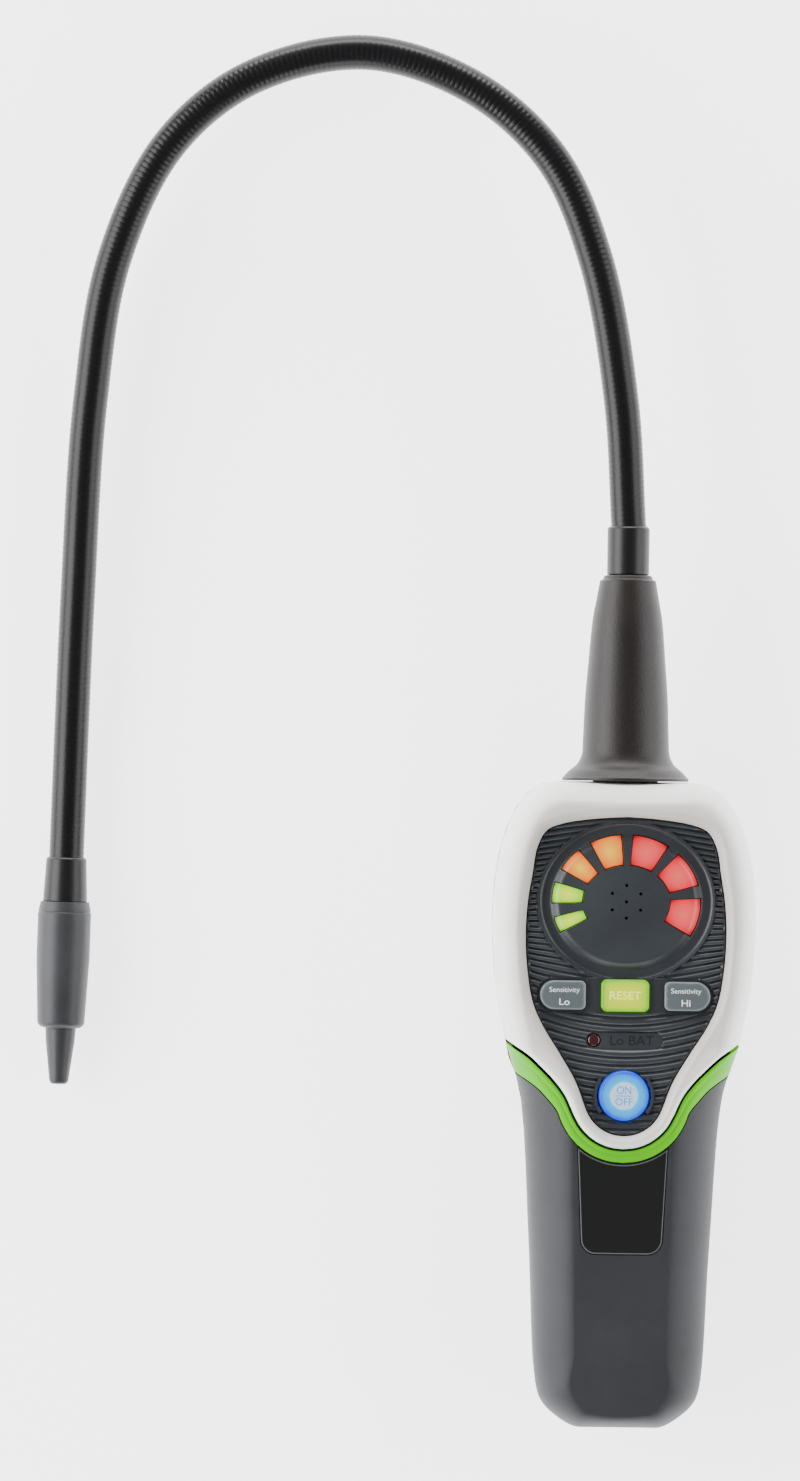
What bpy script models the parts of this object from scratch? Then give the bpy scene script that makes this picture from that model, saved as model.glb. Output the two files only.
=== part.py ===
"""Hand-held refrigerant leak detector with a bendable probe, lying on its back.

Frame: +X is to the right of the face, +Y runs from the handle to the neck and +Z points out
of the face. The origin is on the flat back, midway along the handset. All sizes are in metres.
"""

import math

import bmesh
import bpy
import numpy as np
from mathutils import Matrix, Vector

# Clearance between pieces that touch
GAP = 0.0003

# Handset outline, seen from the front
HANDSET_LENGTH = 0.1674
HEAD_WIDTH = 0.0682
HEAD_WIDEST_DROP = 0.0385
HEAD_TOP_FLAT_WIDTH = 0.034
SHOULDER_POWER = 2.3
HANDLE_TOP_WIDTH = 0.0508
HANDLE_TOP_DROP = 0.0867
HANDLE_END_WIDTH = 0.0419
END_FLAT_WIDTH = 0.0224
END_CHAMFER_LENGTH = 0.0086
END_CORNER = ((0.0, 0.02), (0.38, 0.24), (0.82, 0.68), (1.0, 1.1))
WAIST_FLARE = 0.0016
WAIST_FLARE_LENGTH = 0.0090
HEAD_FLARE = ((0.0049, 0.0144), (0.0034, 0.0220), (0.0013, 0.0326))

# Handset section
SPLIT_HEIGHT = 0.024
WALL = 0.0024
BACK_ROUND = 0.012
HEAD_FACE_HEIGHT = 0.050
HANDLE_TOP_STEP = 0.004
HANDLE_END_STEP = 0.009
HANDLE_ROUND_SHARE = 0.48
HANDLE_SIDE_WALL = 0.004
HANDLE_END_ROUND = 0.0055
HANDLE_END_ROUND_HEIGHT = 0.009
HEAD_FAN_DROP = 0.0375
HANDSET_STATIONS = 30

# Bezel
BEZEL_ROUND_WIDTH = 0.0068
BEZEL_SIDE_WALL = 0.008
BEZEL_EDGE_ROUND = 0.0024
BEZEL_EDGE_SKIRT = 0.0046
BEZEL_SLOPE_WIDTH = 0.0021
BEZEL_SLOPE_DROP = 0.0017
LEDGE_WIDTH = 0.0007
LEDGE_THICKNESS = 0.0014
BEZEL_RIM_WALL = 0.0012
BEZEL_FAN_DROP = 0.0335
BEZEL_STATIONS = 18

# Control panel
BEZEL_BAND_WIDTH = 0.0083
PANEL_WIDEST_DROP = 0.0396
PANEL_TOP_INSET = 0.0091
PANEL_TOE_RADIUS = 0.0103
PANEL_TOE_ANGLE = -24.0
PANEL_ARM = ((0.516, 0.0035), (0.663, 0.0107), (0.837, 0.0179))
PANEL_SIDE = (
    (0.0020, -0.0169),
    (0.0005, -0.0084),
    (0.0, 0.0),
    (0.0004, 0.0085),
    (0.0015, 0.0157),
)
PANEL_SHOULDER = ((0.882, 0.0078), (0.795, 0.0036), (0.632, 0.0018), (0.302, 0.0005))
PANEL_RECESS = 0.0026
PANEL_THICKNESS = 0.0036
RIB_PITCH = 0.00205
RIB_HEIGHT = 0.0005
RIB_ARCH = 0.0032
RIB_SAG = 0.0028
RIB_LEVEL_DROP = 0.0336
RIB_COLUMNS = 6

# Dial on the panel
DIAL_DROP = 0.0306
DIAL_RECESS_WIDTH = 0.045
DIAL_RECESS_HEIGHT = 0.0406
DIAL_RECESS_DEPTH = 0.0014
PLATEAU_WIDTH = 0.0354
PLATEAU_HEIGHT = 0.0318
PLATEAU_FOOT = 0.0018
WINDOW_OVERHANG_X = 0.0014
WINDOW_OVERHANG_Y = 0.0013
WINDOW_DEPTH = 0.0078
WINDOW_FLANGE = 0.0008
WINDOW_FLANGE_THICKNESS = 0.0009
WINDOW_STEPS = 4
WINDOW_ANGLES = (
    (194.0, 208.0),
    (163.5, 182.0),
    (130.2, 151.8),
    (94.5, 119.7),
    (56.3, 85.3),
    (15.0, 46.2),
    (-30.4, 3.7),
)
SPEAKER_HOLE_RADIUS = 0.00042
SPEAKER_HOLE_CIRCLE = 0.0042
SPEAKER_HOLE_COUNT = 6

# Buttons
BUTTON_ROW_DROP = 0.0547
BUTTON_TRAVEL = 0.0008
BUTTON_RISE = 0.0009
BUTTON_FLANGE = 0.0008
BUTTON_FLANGE_THICKNESS = 0.0009
BUTTON_EDGE_ROUND = 0.0004
SIDE_BUTTON_X = 0.0160
SIDE_BUTTON_WIDTH = 0.01175
SIDE_BUTTON_HEIGHT = 0.0074
SIDE_BUTTON_CORNER = 0.0013
RESET_WIDTH = 0.0123
RESET_HEIGHT = 0.0082
RESET_CORNER = 0.0015
BAND_HEIGHT = 0.0088
BAND_MARGIN = 0.0008
BAND_DEPTH = 0.0007
POWER_BUTTON_DROP = 0.0804
POWER_BUTTON_RADIUS = 0.00642
GUARD_RADIUS = 0.0073
GUARD_WIDTH = 0.0008
GUARD_HALF_ANGLE = 32.0
GUARD_RISE = 0.0005

# Low battery lamp in its pill-shaped recess
PILL_DROP = 0.0662
PILL_WIDTH = 0.0199
PILL_HEIGHT = 0.0041
PILL_DEPTH = 0.0005
LAMP_X = -0.0079
LAMP_RADIUS = 0.0015
LAMP_RISE = 0.0004

# Trim around the toe of the bezel
TRIM_INNER_RADIUS = 0.0148
TRIM_OUTER_RADIUS = 0.01775
TRIM_THICKNESS = 0.0016
TRIM_STEP = 0.0005
TRIM_STATIONS = 15
TRIM_INNER_ARM = (
    (0.0172, 0.0004),
    (0.0210, 0.0039),
    (0.0248, 0.0070),
    (0.0301, 0.0106),
    (0.0420, 0.0186),
)
TRIM_OUTER_ARM = (
    (0.0177, -0.0038),
    (0.0206, -0.0007),
    (0.0249, 0.0024),
    (0.0278, 0.0046),
    (0.0420, 0.0156),
)

# Label on the handle
LABEL_TOP_WIDTH = 0.0230
LABEL_BOTTOM_WIDTH = 0.0208
LABEL_BOTTOM_DROP = 0.1213
LABEL_CORNER = 0.0038
LABEL_THICKNESS = 0.0005

# Board, membrane and speaker
BOARD_THICKNESS = 0.0016
BOARD_SIDE_INSET = 0.0040
BOARD_TOP_INSET = 0.0102
BOARD_TOP_WIDTH = 0.0446
BOARD_CORNER_DROP = 0.0252
BOARD_SHOULDER_DROP = 0.0487
BOARD_WAIST_WIDTH = 0.0433
BOARD_WAIST_DROP = 0.0704
BOARD_TAIL_WIDTH = 0.0280
BOARD_TAIL_TOP_DROP = 0.0844
BOARD_TAIL_DROP = 0.1052
MEMBRANE_THICKNESS = 0.0014
SPEAKER_RADIUS = 0.0075
SPEAKER_THICKNESS = 0.0031

# Housing screws and the posts they clamp
HEAD_SCREW_INSET = 0.0062
HEAD_SCREW_DROP = 0.0282
HANDLE_SCREW_X = 0.0095
HANDLE_SCREW_DROP = 0.1002
POST_RADIUS = 0.0043
BOSS_RADIUS = 0.0026
SCREW_HEAD_RADIUS = 0.0028
SCREW_HEAD_HEIGHT = 0.0020
SCREW_SHANK_RADIUS = 0.0012
SCREW_LENGTH = 0.0202
SCREW_SEAT_DEPTH = 0.0154
POST_SHOULDER = 0.0012

# Battery bay
CELL_RADIUS = 0.00725
CELL_LENGTH = 0.0505
CELL_NUB_LENGTH = 0.0010
CELL_NUB_RADIUS = 0.0028
CELL_SPACING = 0.0149
CELL_END_INSET = 0.0072
CELL_LOW_HEIGHT = 0.0120
CONTACT_THICKNESS = 0.0006
CONTACT_SIDE_INSET = 0.0006
CONTACT_END_INSET = 0.0036
BULKHEAD_THICKNESS = 0.0016
BULKHEAD_CLEARANCE = 0.0045
DOOR_HEIGHT = 0.0100
TONGUE_WIDTH = 0.016
TONGUE_LENGTH = 0.0022
TONGUE_THICKNESS = 0.0012
TONGUE_ROOT = 0.0030
THUMB_GROOVES = 4
THUMB_GROOVE_PITCH = 0.0026
THUMB_GROOVE_WIDTH = 0.020
THUMB_GROOVE_DEPTH = 0.0006
THUMB_GROOVE_INSET = 0.0137

# Boot, sleeve and nut at the root of the gooseneck
NECK_RADIUS = 0.0046
BOOT_FLANGE_RADIUS = 0.01645
BOOT_FLANGE_THICKNESS = 0.0009
BOOT_BODY = (
    (0.0146, 0.0026),
    (0.0127, 0.0042),
    (0.0115, 0.0066),
    (0.0112, 0.0106),
    (0.0108, 0.0210),
    (0.0100, 0.0314),
    (0.0091, 0.0418),
    (0.0082, 0.0470),
    (0.0073, 0.0520),
)
BOOT_LIP_RADIUS = 0.0062
BOOT_SHANK_RADIUS = 0.0085
BOOT_INNER_FLANGE_RADIUS = 0.0108
BOOT_INNER_FLANGE_THICKNESS = 0.0020
BOOT_LENGTH = 0.0535
BASE_SLEEVE_RADIUS = 0.0055
BASE_SLEEVE_LENGTH = 0.0123
SLEEVE_CHAMFER = 0.0005
NUT_RADIUS = 0.0078
NUT_LENGTH = 0.0060

# Gooseneck route, hand placed, in the plane of the table: x and y of its middle line
ROUTE = (
    (0.0000, 0.1500),
    (-0.0024, 0.1830),
    (-0.0095, 0.2196),
    (-0.0213, 0.2459),
    (-0.0419, 0.2641),
    (-0.0700, 0.2730),
    (-0.1000, 0.2662),
    (-0.1211, 0.2487),
    (-0.1352, 0.2187),
    (-0.1410, 0.1820),
    (-0.1438, 0.1295),
    (-0.1458, 0.0618),
)
NECK_LINKS = 9
NECK_SIDES = 12
NECK_SOCKET_CLEARANCE = 0.0006
NECK_END_MARGIN = 0.0070
NECK_RING_PITCH = 0.0096
PROBE_LEAN = 1.2

# Probe
PROBE_CHAMFER = 0.0004
TIP_SLEEVE_LENGTH = 0.01125
TIP_SLEEVE_TOP_RADIUS = 0.0053
TIP_SLEEVE_BOTTOM_RADIUS = 0.0058
BARREL_RADIUS = 0.0070
BARREL_TOP_RADIUS = 0.0064
BARREL_END_RADIUS = 0.0062
BARREL_LENGTH = 0.0331
BARREL_WIDEST = 0.0149
BARREL_BORE_RADIUS = 0.0044
BARREL_COLLAR = 0.0027
BARREL_END_ROUND = 0.0010
NOZZLE_RADIUS = 0.0040
NOZZLE_COLLAR_RADIUS = 0.0038
NOZZLE_COLLAR_LENGTH = 0.0036
NOZZLE_TIP_RADIUS = 0.0025
NOZZLE_TIP_ROUND = 0.0006
NOZZLE_LENGTH = 0.0148
NOZZLE_BORE_RADIUS = 0.0012
NOZZLE_SHANK_LENGTH = 0.0060
ELEMENT_LENGTH = 0.0120
SET_SCREW_RADIUS = 0.0008
SET_SCREW_LENGTH = 0.0012
SET_SCREW_PLACE = 0.0046

# Values that follow from the sizes above
HALF_LENGTH = HANDSET_LENGTH / 2
HEAD_WIDEST_Y = HALF_LENGTH - HEAD_WIDEST_DROP
HANDLE_TOP_Y = HALF_LENGTH - HANDLE_TOP_DROP
PANEL_WIDEST_Y = HALF_LENGTH - PANEL_WIDEST_DROP
DIAL_Y = HALF_LENGTH - DIAL_DROP
BUTTON_ROW_Y = HALF_LENGTH - BUTTON_ROW_DROP
POWER_BUTTON_Y = HALF_LENGTH - POWER_BUTTON_DROP
PILL_Y = HALF_LENGTH - PILL_DROP
HEAD_SCREW_Y = HALF_LENGTH - HEAD_SCREW_DROP
HANDLE_SCREW_Y = HALF_LENGTH - HANDLE_SCREW_DROP
LABEL_BOTTOM_Y = HALF_LENGTH - LABEL_BOTTOM_DROP
BOARD_CORNER_Y = HALF_LENGTH - BOARD_CORNER_DROP
BOARD_SHOULDER_Y = HALF_LENGTH - BOARD_SHOULDER_DROP
BOARD_WAIST_Y = HALF_LENGTH - BOARD_WAIST_DROP
BOARD_TAIL_TOP_Y = HALF_LENGTH - BOARD_TAIL_TOP_DROP
BOARD_TAIL_Y = HALF_LENGTH - BOARD_TAIL_DROP
HANDLE_TOP_DEPTH = HEAD_FACE_HEIGHT - HANDLE_TOP_STEP
HANDLE_END_DEPTH = HEAD_FACE_HEIGHT - HANDLE_END_STEP
BEZEL_ROUND_HEIGHT = HEAD_FACE_HEIGHT - SPLIT_HEIGHT - BEZEL_SIDE_WALL
WINDOW_OUTER_WIDTH = PLATEAU_WIDTH + 2 * WINDOW_OVERHANG_X
WINDOW_OUTER_HEIGHT = PLATEAU_HEIGHT + 2 * WINDOW_OVERHANG_Y
PANEL_WIDTH = HEAD_WIDTH - 2 * BEZEL_BAND_WIDTH
PANEL_TOP_Y = HALF_LENGTH - PANEL_TOP_INSET
PANEL_FACE_HEIGHT = HEAD_FACE_HEIGHT - PANEL_RECESS
PANEL_UNDERSIDE = PANEL_FACE_HEIGHT - PANEL_THICKNESS
MEMBRANE_TOP = PANEL_UNDERSIDE - 2 * GAP - BUTTON_FLANGE_THICKNESS - BUTTON_TRAVEL
BOARD_TOP_HEIGHT = MEMBRANE_TOP - MEMBRANE_THICKNESS - GAP
POST_TOP = BOARD_TOP_HEIGHT - BOARD_THICKNESS - GAP
SCREW_SEAT_HEIGHT = POST_TOP - SCREW_SEAT_DEPTH
PILOT_TOP = SCREW_SEAT_HEIGHT + SCREW_LENGTH + GAP
CELL_END_Y = CELL_END_INSET - HALF_LENGTH
CELL_TOP_Y = CELL_END_Y + CELL_LENGTH
BULKHEAD_Y = CELL_TOP_Y + 2 * GAP + CONTACT_THICKNESS
NECK_HEIGHT = SPLIT_HEIGHT
BORE_RADIUS = NECK_RADIUS + GAP

MATERIALS = {
    "white_shell": ((0.83, 0.81, 0.78), 0.45, 0.0),
    "green_trim": ((0.27, 0.75, 0.0), 0.35, 0.0),
    "dark_grip": ((0.052, 0.053, 0.058), 0.6, 0.0),
    "panel_grey": ((0.045, 0.049, 0.055), 0.5, 0.0),
    "lamp_green": ((0.57, 1.0, 0.1), 0.3, 0.0),
    "lamp_orange": ((1.0, 0.45, 0.12), 0.3, 0.0),
    "lamp_red": ((1.0, 0.22, 0.22), 0.3, 0.0),
    "low_lamp_red": ((0.30, 0.01, 0.01), 0.2, 0.0),
    "button_grey": ((0.18, 0.21, 0.24), 0.35, 0.0),
    "button_reset": ((0.62, 1.0, 0.05), 0.35, 0.0),
    "button_power": ((0.08, 0.55, 1.0), 0.35, 0.0),
    "label_black": ((0.012, 0.013, 0.014), 0.4, 0.0),
    "boot_rubber": ((0.045, 0.038, 0.035), 0.7, 0.0),
    "neck_black": ((0.012, 0.012, 0.013), 0.4, 0.0),
    "probe_grey": ((0.115, 0.117, 0.122), 0.6, 0.0),
    "steel": ((0.55, 0.55, 0.56), 0.3, 1.0),
    "board_green": ((0.02, 0.18, 0.07), 0.5, 0.0),
    "membrane_grey": ((0.30, 0.30, 0.32), 0.7, 0.0),
    "speaker_black": ((0.02, 0.02, 0.02), 0.5, 0.0),
    "cell_wrap": ((0.03, 0.03, 0.035), 0.35, 0.0),
    "sensor_brass": ((0.70, 0.50, 0.20), 0.3, 1.0),
}


def material(name):
    """Return the named material, made on first use."""
    found = bpy.data.materials.get(name)
    if found is not None:
        return found
    colour, roughness, metallic = MATERIALS[name]
    made = bpy.data.materials.new(name)
    made.use_nodes = True
    made.diffuse_color = (*colour, 1.0)
    shader = made.node_tree.nodes["Principled BSDF"]
    shader.inputs["Base Color"].default_value = (*colour, 1.0)
    shader.inputs["Roughness"].default_value = roughness
    shader.inputs["Metallic"].default_value = metallic
    return made


def new_object(name, mesh_data, finish):
    """Link an object made from a bmesh, with faces pointing out and round shading."""
    bmesh.ops.recalc_face_normals(mesh_data, faces=mesh_data.faces)
    mesh = bpy.data.meshes.new(name)
    mesh_data.to_mesh(mesh)
    mesh_data.free()
    mesh.shade_smooth()
    mesh.set_sharp_from_angle(angle=math.radians(35))
    made = bpy.data.objects.new(name, mesh)
    bpy.context.collection.objects.link(made)
    if finish:
        mesh.materials.append(material(finish))
    return made


def combine(target, other, operation):
    """Apply a Boolean between two objects to the first and remove the second."""
    modifier = target.modifiers.new("shape", "BOOLEAN")
    modifier.operation = operation
    modifier.object = other
    modifier.solver = "EXACT"
    graph = bpy.context.evaluated_depsgraph_get()
    mesh = bpy.data.meshes.new_from_object(target.evaluated_get(graph))
    target.modifiers.clear()
    old = target.data
    target.data = mesh
    bpy.data.meshes.remove(old)
    bpy.data.objects.remove(other)
    mesh.name = target.name
    return target


def cut(target, cutter):
    """Remove the cutter's volume from the target."""
    return combine(target, cutter, "DIFFERENCE")


def join(target, other):
    """Fuse another solid to the target."""
    return combine(target, other, "UNION")


def keep(target, region):
    """Keep only the part of the target that lies in the region."""
    return combine(target, region, "INTERSECT")


def gathered(name, pieces):
    """Put several separate solids into one object, to cut with in one go."""
    mesh_data = bmesh.new()
    for piece in pieces:
        mesh_data.from_mesh(piece.data)
        bpy.data.objects.remove(piece)
    return new_object(name, mesh_data, None)


def weld(target):
    """Merge the vertices that a Boolean leaves on top of each other."""
    mesh_data = bmesh.new()
    mesh_data.from_mesh(target.data)
    bmesh.ops.remove_doubles(mesh_data, verts=mesh_data.verts, dist=GAP / 300)
    mesh_data.to_mesh(target.data)
    mesh_data.free()
    return target


def set_origin(target, point):
    """Move an object's origin to a point and leave its shape where it is."""
    shift = Vector(point) - target.location
    target.data.transform(Matrix.Translation(-shift))
    target.location = Vector(point)
    return target


def loft(name, loops, finish=None, caps=True):
    """Join equal closed loops of points by quads. Without caps the last loop meets the first."""
    mesh_data = bmesh.new()
    rings = [[mesh_data.verts.new(point) for point in loop] for loop in loops]
    count = len(rings[0])
    pairs = list(zip(rings, rings[1:]))
    if not caps:
        pairs.append((rings[-1], rings[0]))
    for lower, upper in pairs:
        for i in range(count):
            j = (i + 1) % count
            mesh_data.faces.new((lower[i], lower[j], upper[j], upper[i]))
    if caps:
        mesh_data.faces.new(rings[0][::-1])
        mesh_data.faces.new(rings[-1])
    return new_object(name, mesh_data, finish)


def prism(name, outline, low, high, finish=None):
    """Extrude a plan outline between two heights. A height may be a function of x and y."""
    low_at = low if callable(low) else lambda x, y: low
    high_at = high if callable(high) else lambda x, y: high
    bottom = [(x, y, low_at(x, y)) for x, y in outline]
    top = [(x, y, high_at(x, y)) for x, y in outline]
    return loft(name, [bottom, top], finish)


def turned(name, profile, finish=None, segments=20, centred=False):
    """Turn a profile of (radius, height) about Z. Centred ends close on the axis."""
    loops = []
    for radius, height in profile:
        angles = [2 * math.pi * i / segments for i in range(segments)]
        loops.append([(radius * math.cos(a), radius * math.sin(a), height) for a in angles])
    return loft(name, loops, finish, caps=centred)


def rod(name, radius, low, high, centre=(0.0, 0.0), finish=None, segments=16):
    """Make an upright cylinder at a plan position."""
    outline = [
        (centre[0] + radius * math.cos(2 * math.pi * i / segments),
         centre[1] + radius * math.sin(2 * math.pi * i / segments))
        for i in range(segments)
    ]
    return prism(name, outline, low, high, finish)


def block(name, x_range, y_range, z_range, finish=None):
    """Make a box from its three ranges."""
    (west, east), (south, north) = x_range, y_range
    outline = [(west, south), (east, south), (east, north), (west, north)]
    return prism(name, outline, z_range[0], z_range[1], finish)


def smooth_path(points, steps=12):
    """Return a dense centripetal Catmull-Rom curve through the points."""
    knots = np.array(points, dtype=float)
    first = 2 * knots[0] - knots[1]
    last = 2 * knots[-1] - knots[-2]
    chain = np.vstack([first, knots, last])
    result = []
    for i in range(1, len(chain) - 2):
        p0, p1, p2, p3 = chain[i - 1:i + 3]
        t0 = 0.0
        t1 = t0 + np.linalg.norm(p1 - p0) ** 0.5
        t2 = t1 + np.linalg.norm(p2 - p1) ** 0.5
        t3 = t2 + np.linalg.norm(p3 - p2) ** 0.5
        for t in np.linspace(t1, t2, steps, endpoint=False):
            a1 = (t1 - t) / (t1 - t0) * p0 + (t - t0) / (t1 - t0) * p1
            a2 = (t2 - t) / (t2 - t1) * p1 + (t - t1) / (t2 - t1) * p2
            a3 = (t3 - t) / (t3 - t2) * p2 + (t - t2) / (t3 - t2) * p3
            b1 = (t2 - t) / (t2 - t0) * a1 + (t - t0) / (t2 - t0) * a2
            b2 = (t3 - t) / (t3 - t1) * a2 + (t - t1) / (t3 - t1) * a3
            result.append((t2 - t) / (t2 - t1) * b1 + (t - t1) / (t2 - t1) * b2)
    result.append(knots[-1])
    return np.array(result)


def resample(path, count, turn_weight=0.0):
    """Spread count + 1 points along a path, closer together where it turns."""
    steps = np.diff(path, axis=0)
    lengths = np.linalg.norm(steps, axis=1)
    headings = np.unwrap(np.arctan2(steps[:, 1], steps[:, 0]))
    turns = np.abs(np.gradient(headings))
    measure = np.concatenate([[0.0], np.cumsum(lengths + turn_weight * turns)])
    wanted = np.linspace(0.0, measure[-1], count + 1)
    return np.stack([np.interp(wanted, measure, path[:, k]) for k in range(path.shape[1])], axis=1)


def arc_points(centre, radius, start, end, steps):
    """Points on a circle between two angles in degrees."""
    angles = np.radians(np.linspace(start, end, steps + 1))
    return [(centre[0] + radius * math.cos(a), centre[1] + radius * math.sin(a)) for a in angles]


def mirrored(half):
    """Close a right half outline, which starts and ends on the middle line, with its left half."""
    left = [(-x, y) for x, y in half[1:-1]][::-1]
    return [tuple(point) for point in half] + left


def grown(outline, distance):
    """Offset a convex outline outwards."""
    points = np.array(outline)
    before = points - np.roll(points, 1, axis=0)
    after = np.roll(points, -1, axis=0) - points
    before /= np.linalg.norm(before, axis=1)[:, None]
    after /= np.linalg.norm(after, axis=1)[:, None]
    along = before + after
    along /= np.linalg.norm(along, axis=1)[:, None]
    normal = np.stack([along[:, 1], -along[:, 0]], axis=1)
    stretch = 1.0 / np.maximum((along * after).sum(axis=1), 0.6)
    return [tuple(point) for point in points + normal * (distance * stretch)[:, None]]


def rounded_outline(width, height, left, right, centre=(0.0, 0.0), steps=3):
    """A rectangle's outline with one corner radius on its left side and one on its right."""
    half_x, half_y = width / 2, height / 2
    corners = (
        (half_x - right, -half_y + right, right, -90, 0),
        (half_x - right, half_y - right, right, 0, 90),
        (-half_x + left, half_y - left, left, 90, 180),
        (-half_x + left, -half_y + left, left, 180, 270),
    )
    outline = []
    for x, y, radius, start, end in corners:
        points = arc_points((centre[0] + x, centre[1] + y), radius, start, end, steps)
        full = outline and math.dist(outline[-1], points[0]) < GAP / 10
        outline.extend(points[1:] if full else points)
    if math.dist(outline[0], outline[-1]) < GAP / 10:
        outline.pop()
    return outline


def ellipse(width, height, centre, steps=40):
    """Outline of an ellipse."""
    angles = [2 * math.pi * i / steps for i in range(steps)]
    return [(centre[0] + width / 2 * math.cos(a), centre[1] + height / 2 * math.sin(a)) for a in angles]


def silhouette():
    """Right half of the handset's outline, from the middle of its end to the middle of its top."""
    end_half = HANDLE_END_WIDTH / 2
    top_half = HANDLE_TOP_WIDTH / 2
    head_half = HEAD_WIDTH / 2
    flat = END_FLAT_WIDTH / 2
    chamfer = end_half - flat
    lower = [
        (0.0, -HALF_LENGTH),
        (0.6 * flat, -HALF_LENGTH),
    ]
    lower += [(flat + x * chamfer, y * END_CHAMFER_LENGTH - HALF_LENGTH) for x, y in END_CORNER]
    lower += [
        ((end_half + top_half) / 2, (HANDLE_TOP_Y - HALF_LENGTH + END_CHAMFER_LENGTH) / 2),
        (top_half, HANDLE_TOP_Y),
        (top_half + WAIST_FLARE, HANDLE_TOP_Y + WAIST_FLARE_LENGTH),
    ]
    lower += [(head_half - inset, HANDLE_TOP_Y + rise) for inset, rise in HEAD_FLARE]
    lower.append((head_half, HEAD_WIDEST_Y))
    corner_x = HEAD_TOP_FLAT_WIDTH / 2
    reach_x = head_half - corner_x
    reach_y = HALF_LENGTH - HEAD_WIDEST_Y
    shoulder = []
    for angle in np.radians(np.linspace(0, 90, 25)[1:]):
        across = math.cos(angle) ** (2 / SHOULDER_POWER)
        along = math.sin(angle) ** (2 / SHOULDER_POWER)
        shoulder.append((corner_x + reach_x * across, HEAD_WIDEST_Y + reach_y * along))
    return np.vstack([smooth_path(lower), shoulder, [(0.0, HALF_LENGTH)]])


def panel_edge():
    """Right half of the control panel's shield outline, from its toe to its top."""
    toe = arc_points((0.0, POWER_BUTTON_Y), PANEL_TOE_RADIUS, -90, PANEL_TOE_ANGLE, 5)
    arm = [(share * PANEL_WIDTH / 2, POWER_BUTTON_Y + y) for share, y in PANEL_ARM]
    side = [(PANEL_WIDTH / 2 - inset, PANEL_WIDEST_Y + y) for inset, y in PANEL_SIDE]
    shoulder = [(share * PANEL_WIDTH / 2, PANEL_TOP_Y - drop) for share, drop in PANEL_SHOULDER]
    return smooth_path(toe + arm + side + shoulder + [(0.0, PANEL_TOP_Y)])


def trim_edge(radius, arm):
    """Right half of one edge of the trim, from the toe out past the handset's side."""
    toe = arc_points((0.0, POWER_BUTTON_Y), radius, -90, PANEL_TOE_ANGLE, 5)
    return smooth_path(toe + [(x, POWER_BUTTON_Y + y) for x, y in arm])


SIDE = silhouette()
PANEL_EDGE = panel_edge()
TRIM_INNER_EDGE = trim_edge(TRIM_INNER_RADIUS, TRIM_INNER_ARM)
TRIM_OUTER_EDGE = trim_edge(TRIM_OUTER_RADIUS, TRIM_OUTER_ARM)


def side_at(y):
    """Half width of the handset at a height along it."""
    rising = SIDE[:, 1].argsort(kind="stable")
    return float(np.interp(y, SIDE[rising, 1], SIDE[rising, 0]))


def quarter(inset, width, height):
    """Drop of a quarter ellipse at an inset from its steep end."""
    share = min(max(1.0 - inset / width, 0.0), 1.0)
    return height * (1.0 - math.sqrt(1.0 - share * share))


def handle_face(y):
    """Height of the handle's flat middle facet."""
    return HANDLE_TOP_DEPTH + (HANDLE_TOP_DEPTH - HANDLE_END_DEPTH) * y / HALF_LENGTH


def handle_surface(x, y):
    """Height of the handle's front surface away from its end."""
    width = HANDLE_ROUND_SHARE * side_at(y)
    height = handle_face(y) - SPLIT_HEIGHT - HANDLE_SIDE_WALL
    return handle_face(y) - quarter(side_at(y) - abs(x), width, height)


def bezel_surface(x, y):
    """Height of the bezel's outer surface away from its edges."""
    return HEAD_FACE_HEIGHT - quarter(side_at(y) - abs(x), BEZEL_ROUND_WIDTH, BEZEL_ROUND_HEIGHT)


def spokes(outline, low_y, high_y):
    """Foot on the middle line and direction of a spoke to each point of an outline."""
    feet = np.array([(0.0, min(max(y, low_y), high_y)) for _, y in outline])
    reach = np.array(outline) - feet
    length = np.linalg.norm(reach, axis=1)
    return feet, reach / length[:, None], length


def ray_length(path, foot, direction):
    """Distance from a foot, along a direction, to a right half outline or its mirror image."""
    aim = np.array([abs(direction[0]), direction[1]])
    start = np.array(path[:-1]) - foot
    step = np.diff(path, axis=0)
    cross = aim[0] * step[:, 1] - aim[1] * step[:, 0]
    cross = np.where(np.abs(cross) < 1e-12, 1e-12, cross)
    along = (start[:, 0] * step[:, 1] - start[:, 1] * step[:, 0]) / cross
    place = (start[:, 0] * aim[1] - start[:, 1] * aim[0]) / cross
    hits = along[(place > -1e-6) & (place < 1 + 1e-6) & (along > 0)]
    return float(hits.min()) if len(hits) else math.inf


def clipped(edge):
    """Points along one trim edge, from the toe to where it meets the handset's side."""
    dense = resample(edge, 120)
    insets = np.array([side_at(y) - x for x, y in dense])
    last = int(np.argmax(insets <= 0))
    share = insets[last - 1] / (insets[last - 1] - insets[last])
    crossing = dense[last - 1] + (dense[last] - dense[last - 1]) * share
    return resample(np.vstack([dense[:last], crossing]), TRIM_STATIONS, turn_weight=0.003)


def shifted(path, distance):
    """Move an open path to its right by a distance, with its first point kept on the middle line."""
    steps = np.diff(path, axis=0)
    steps /= np.linalg.norm(steps, axis=1)[:, None]
    ahead = np.vstack([steps, steps[-1:]])
    behind = np.vstack([steps[:1], steps])
    along = ahead + behind
    along /= np.linalg.norm(along, axis=1)[:, None]
    normal = np.stack([along[:, 1], -along[:, 0]], axis=1)
    moved = path + normal * distance
    moved[0] = (0.0, path[0][1] - distance)
    return moved


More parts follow.
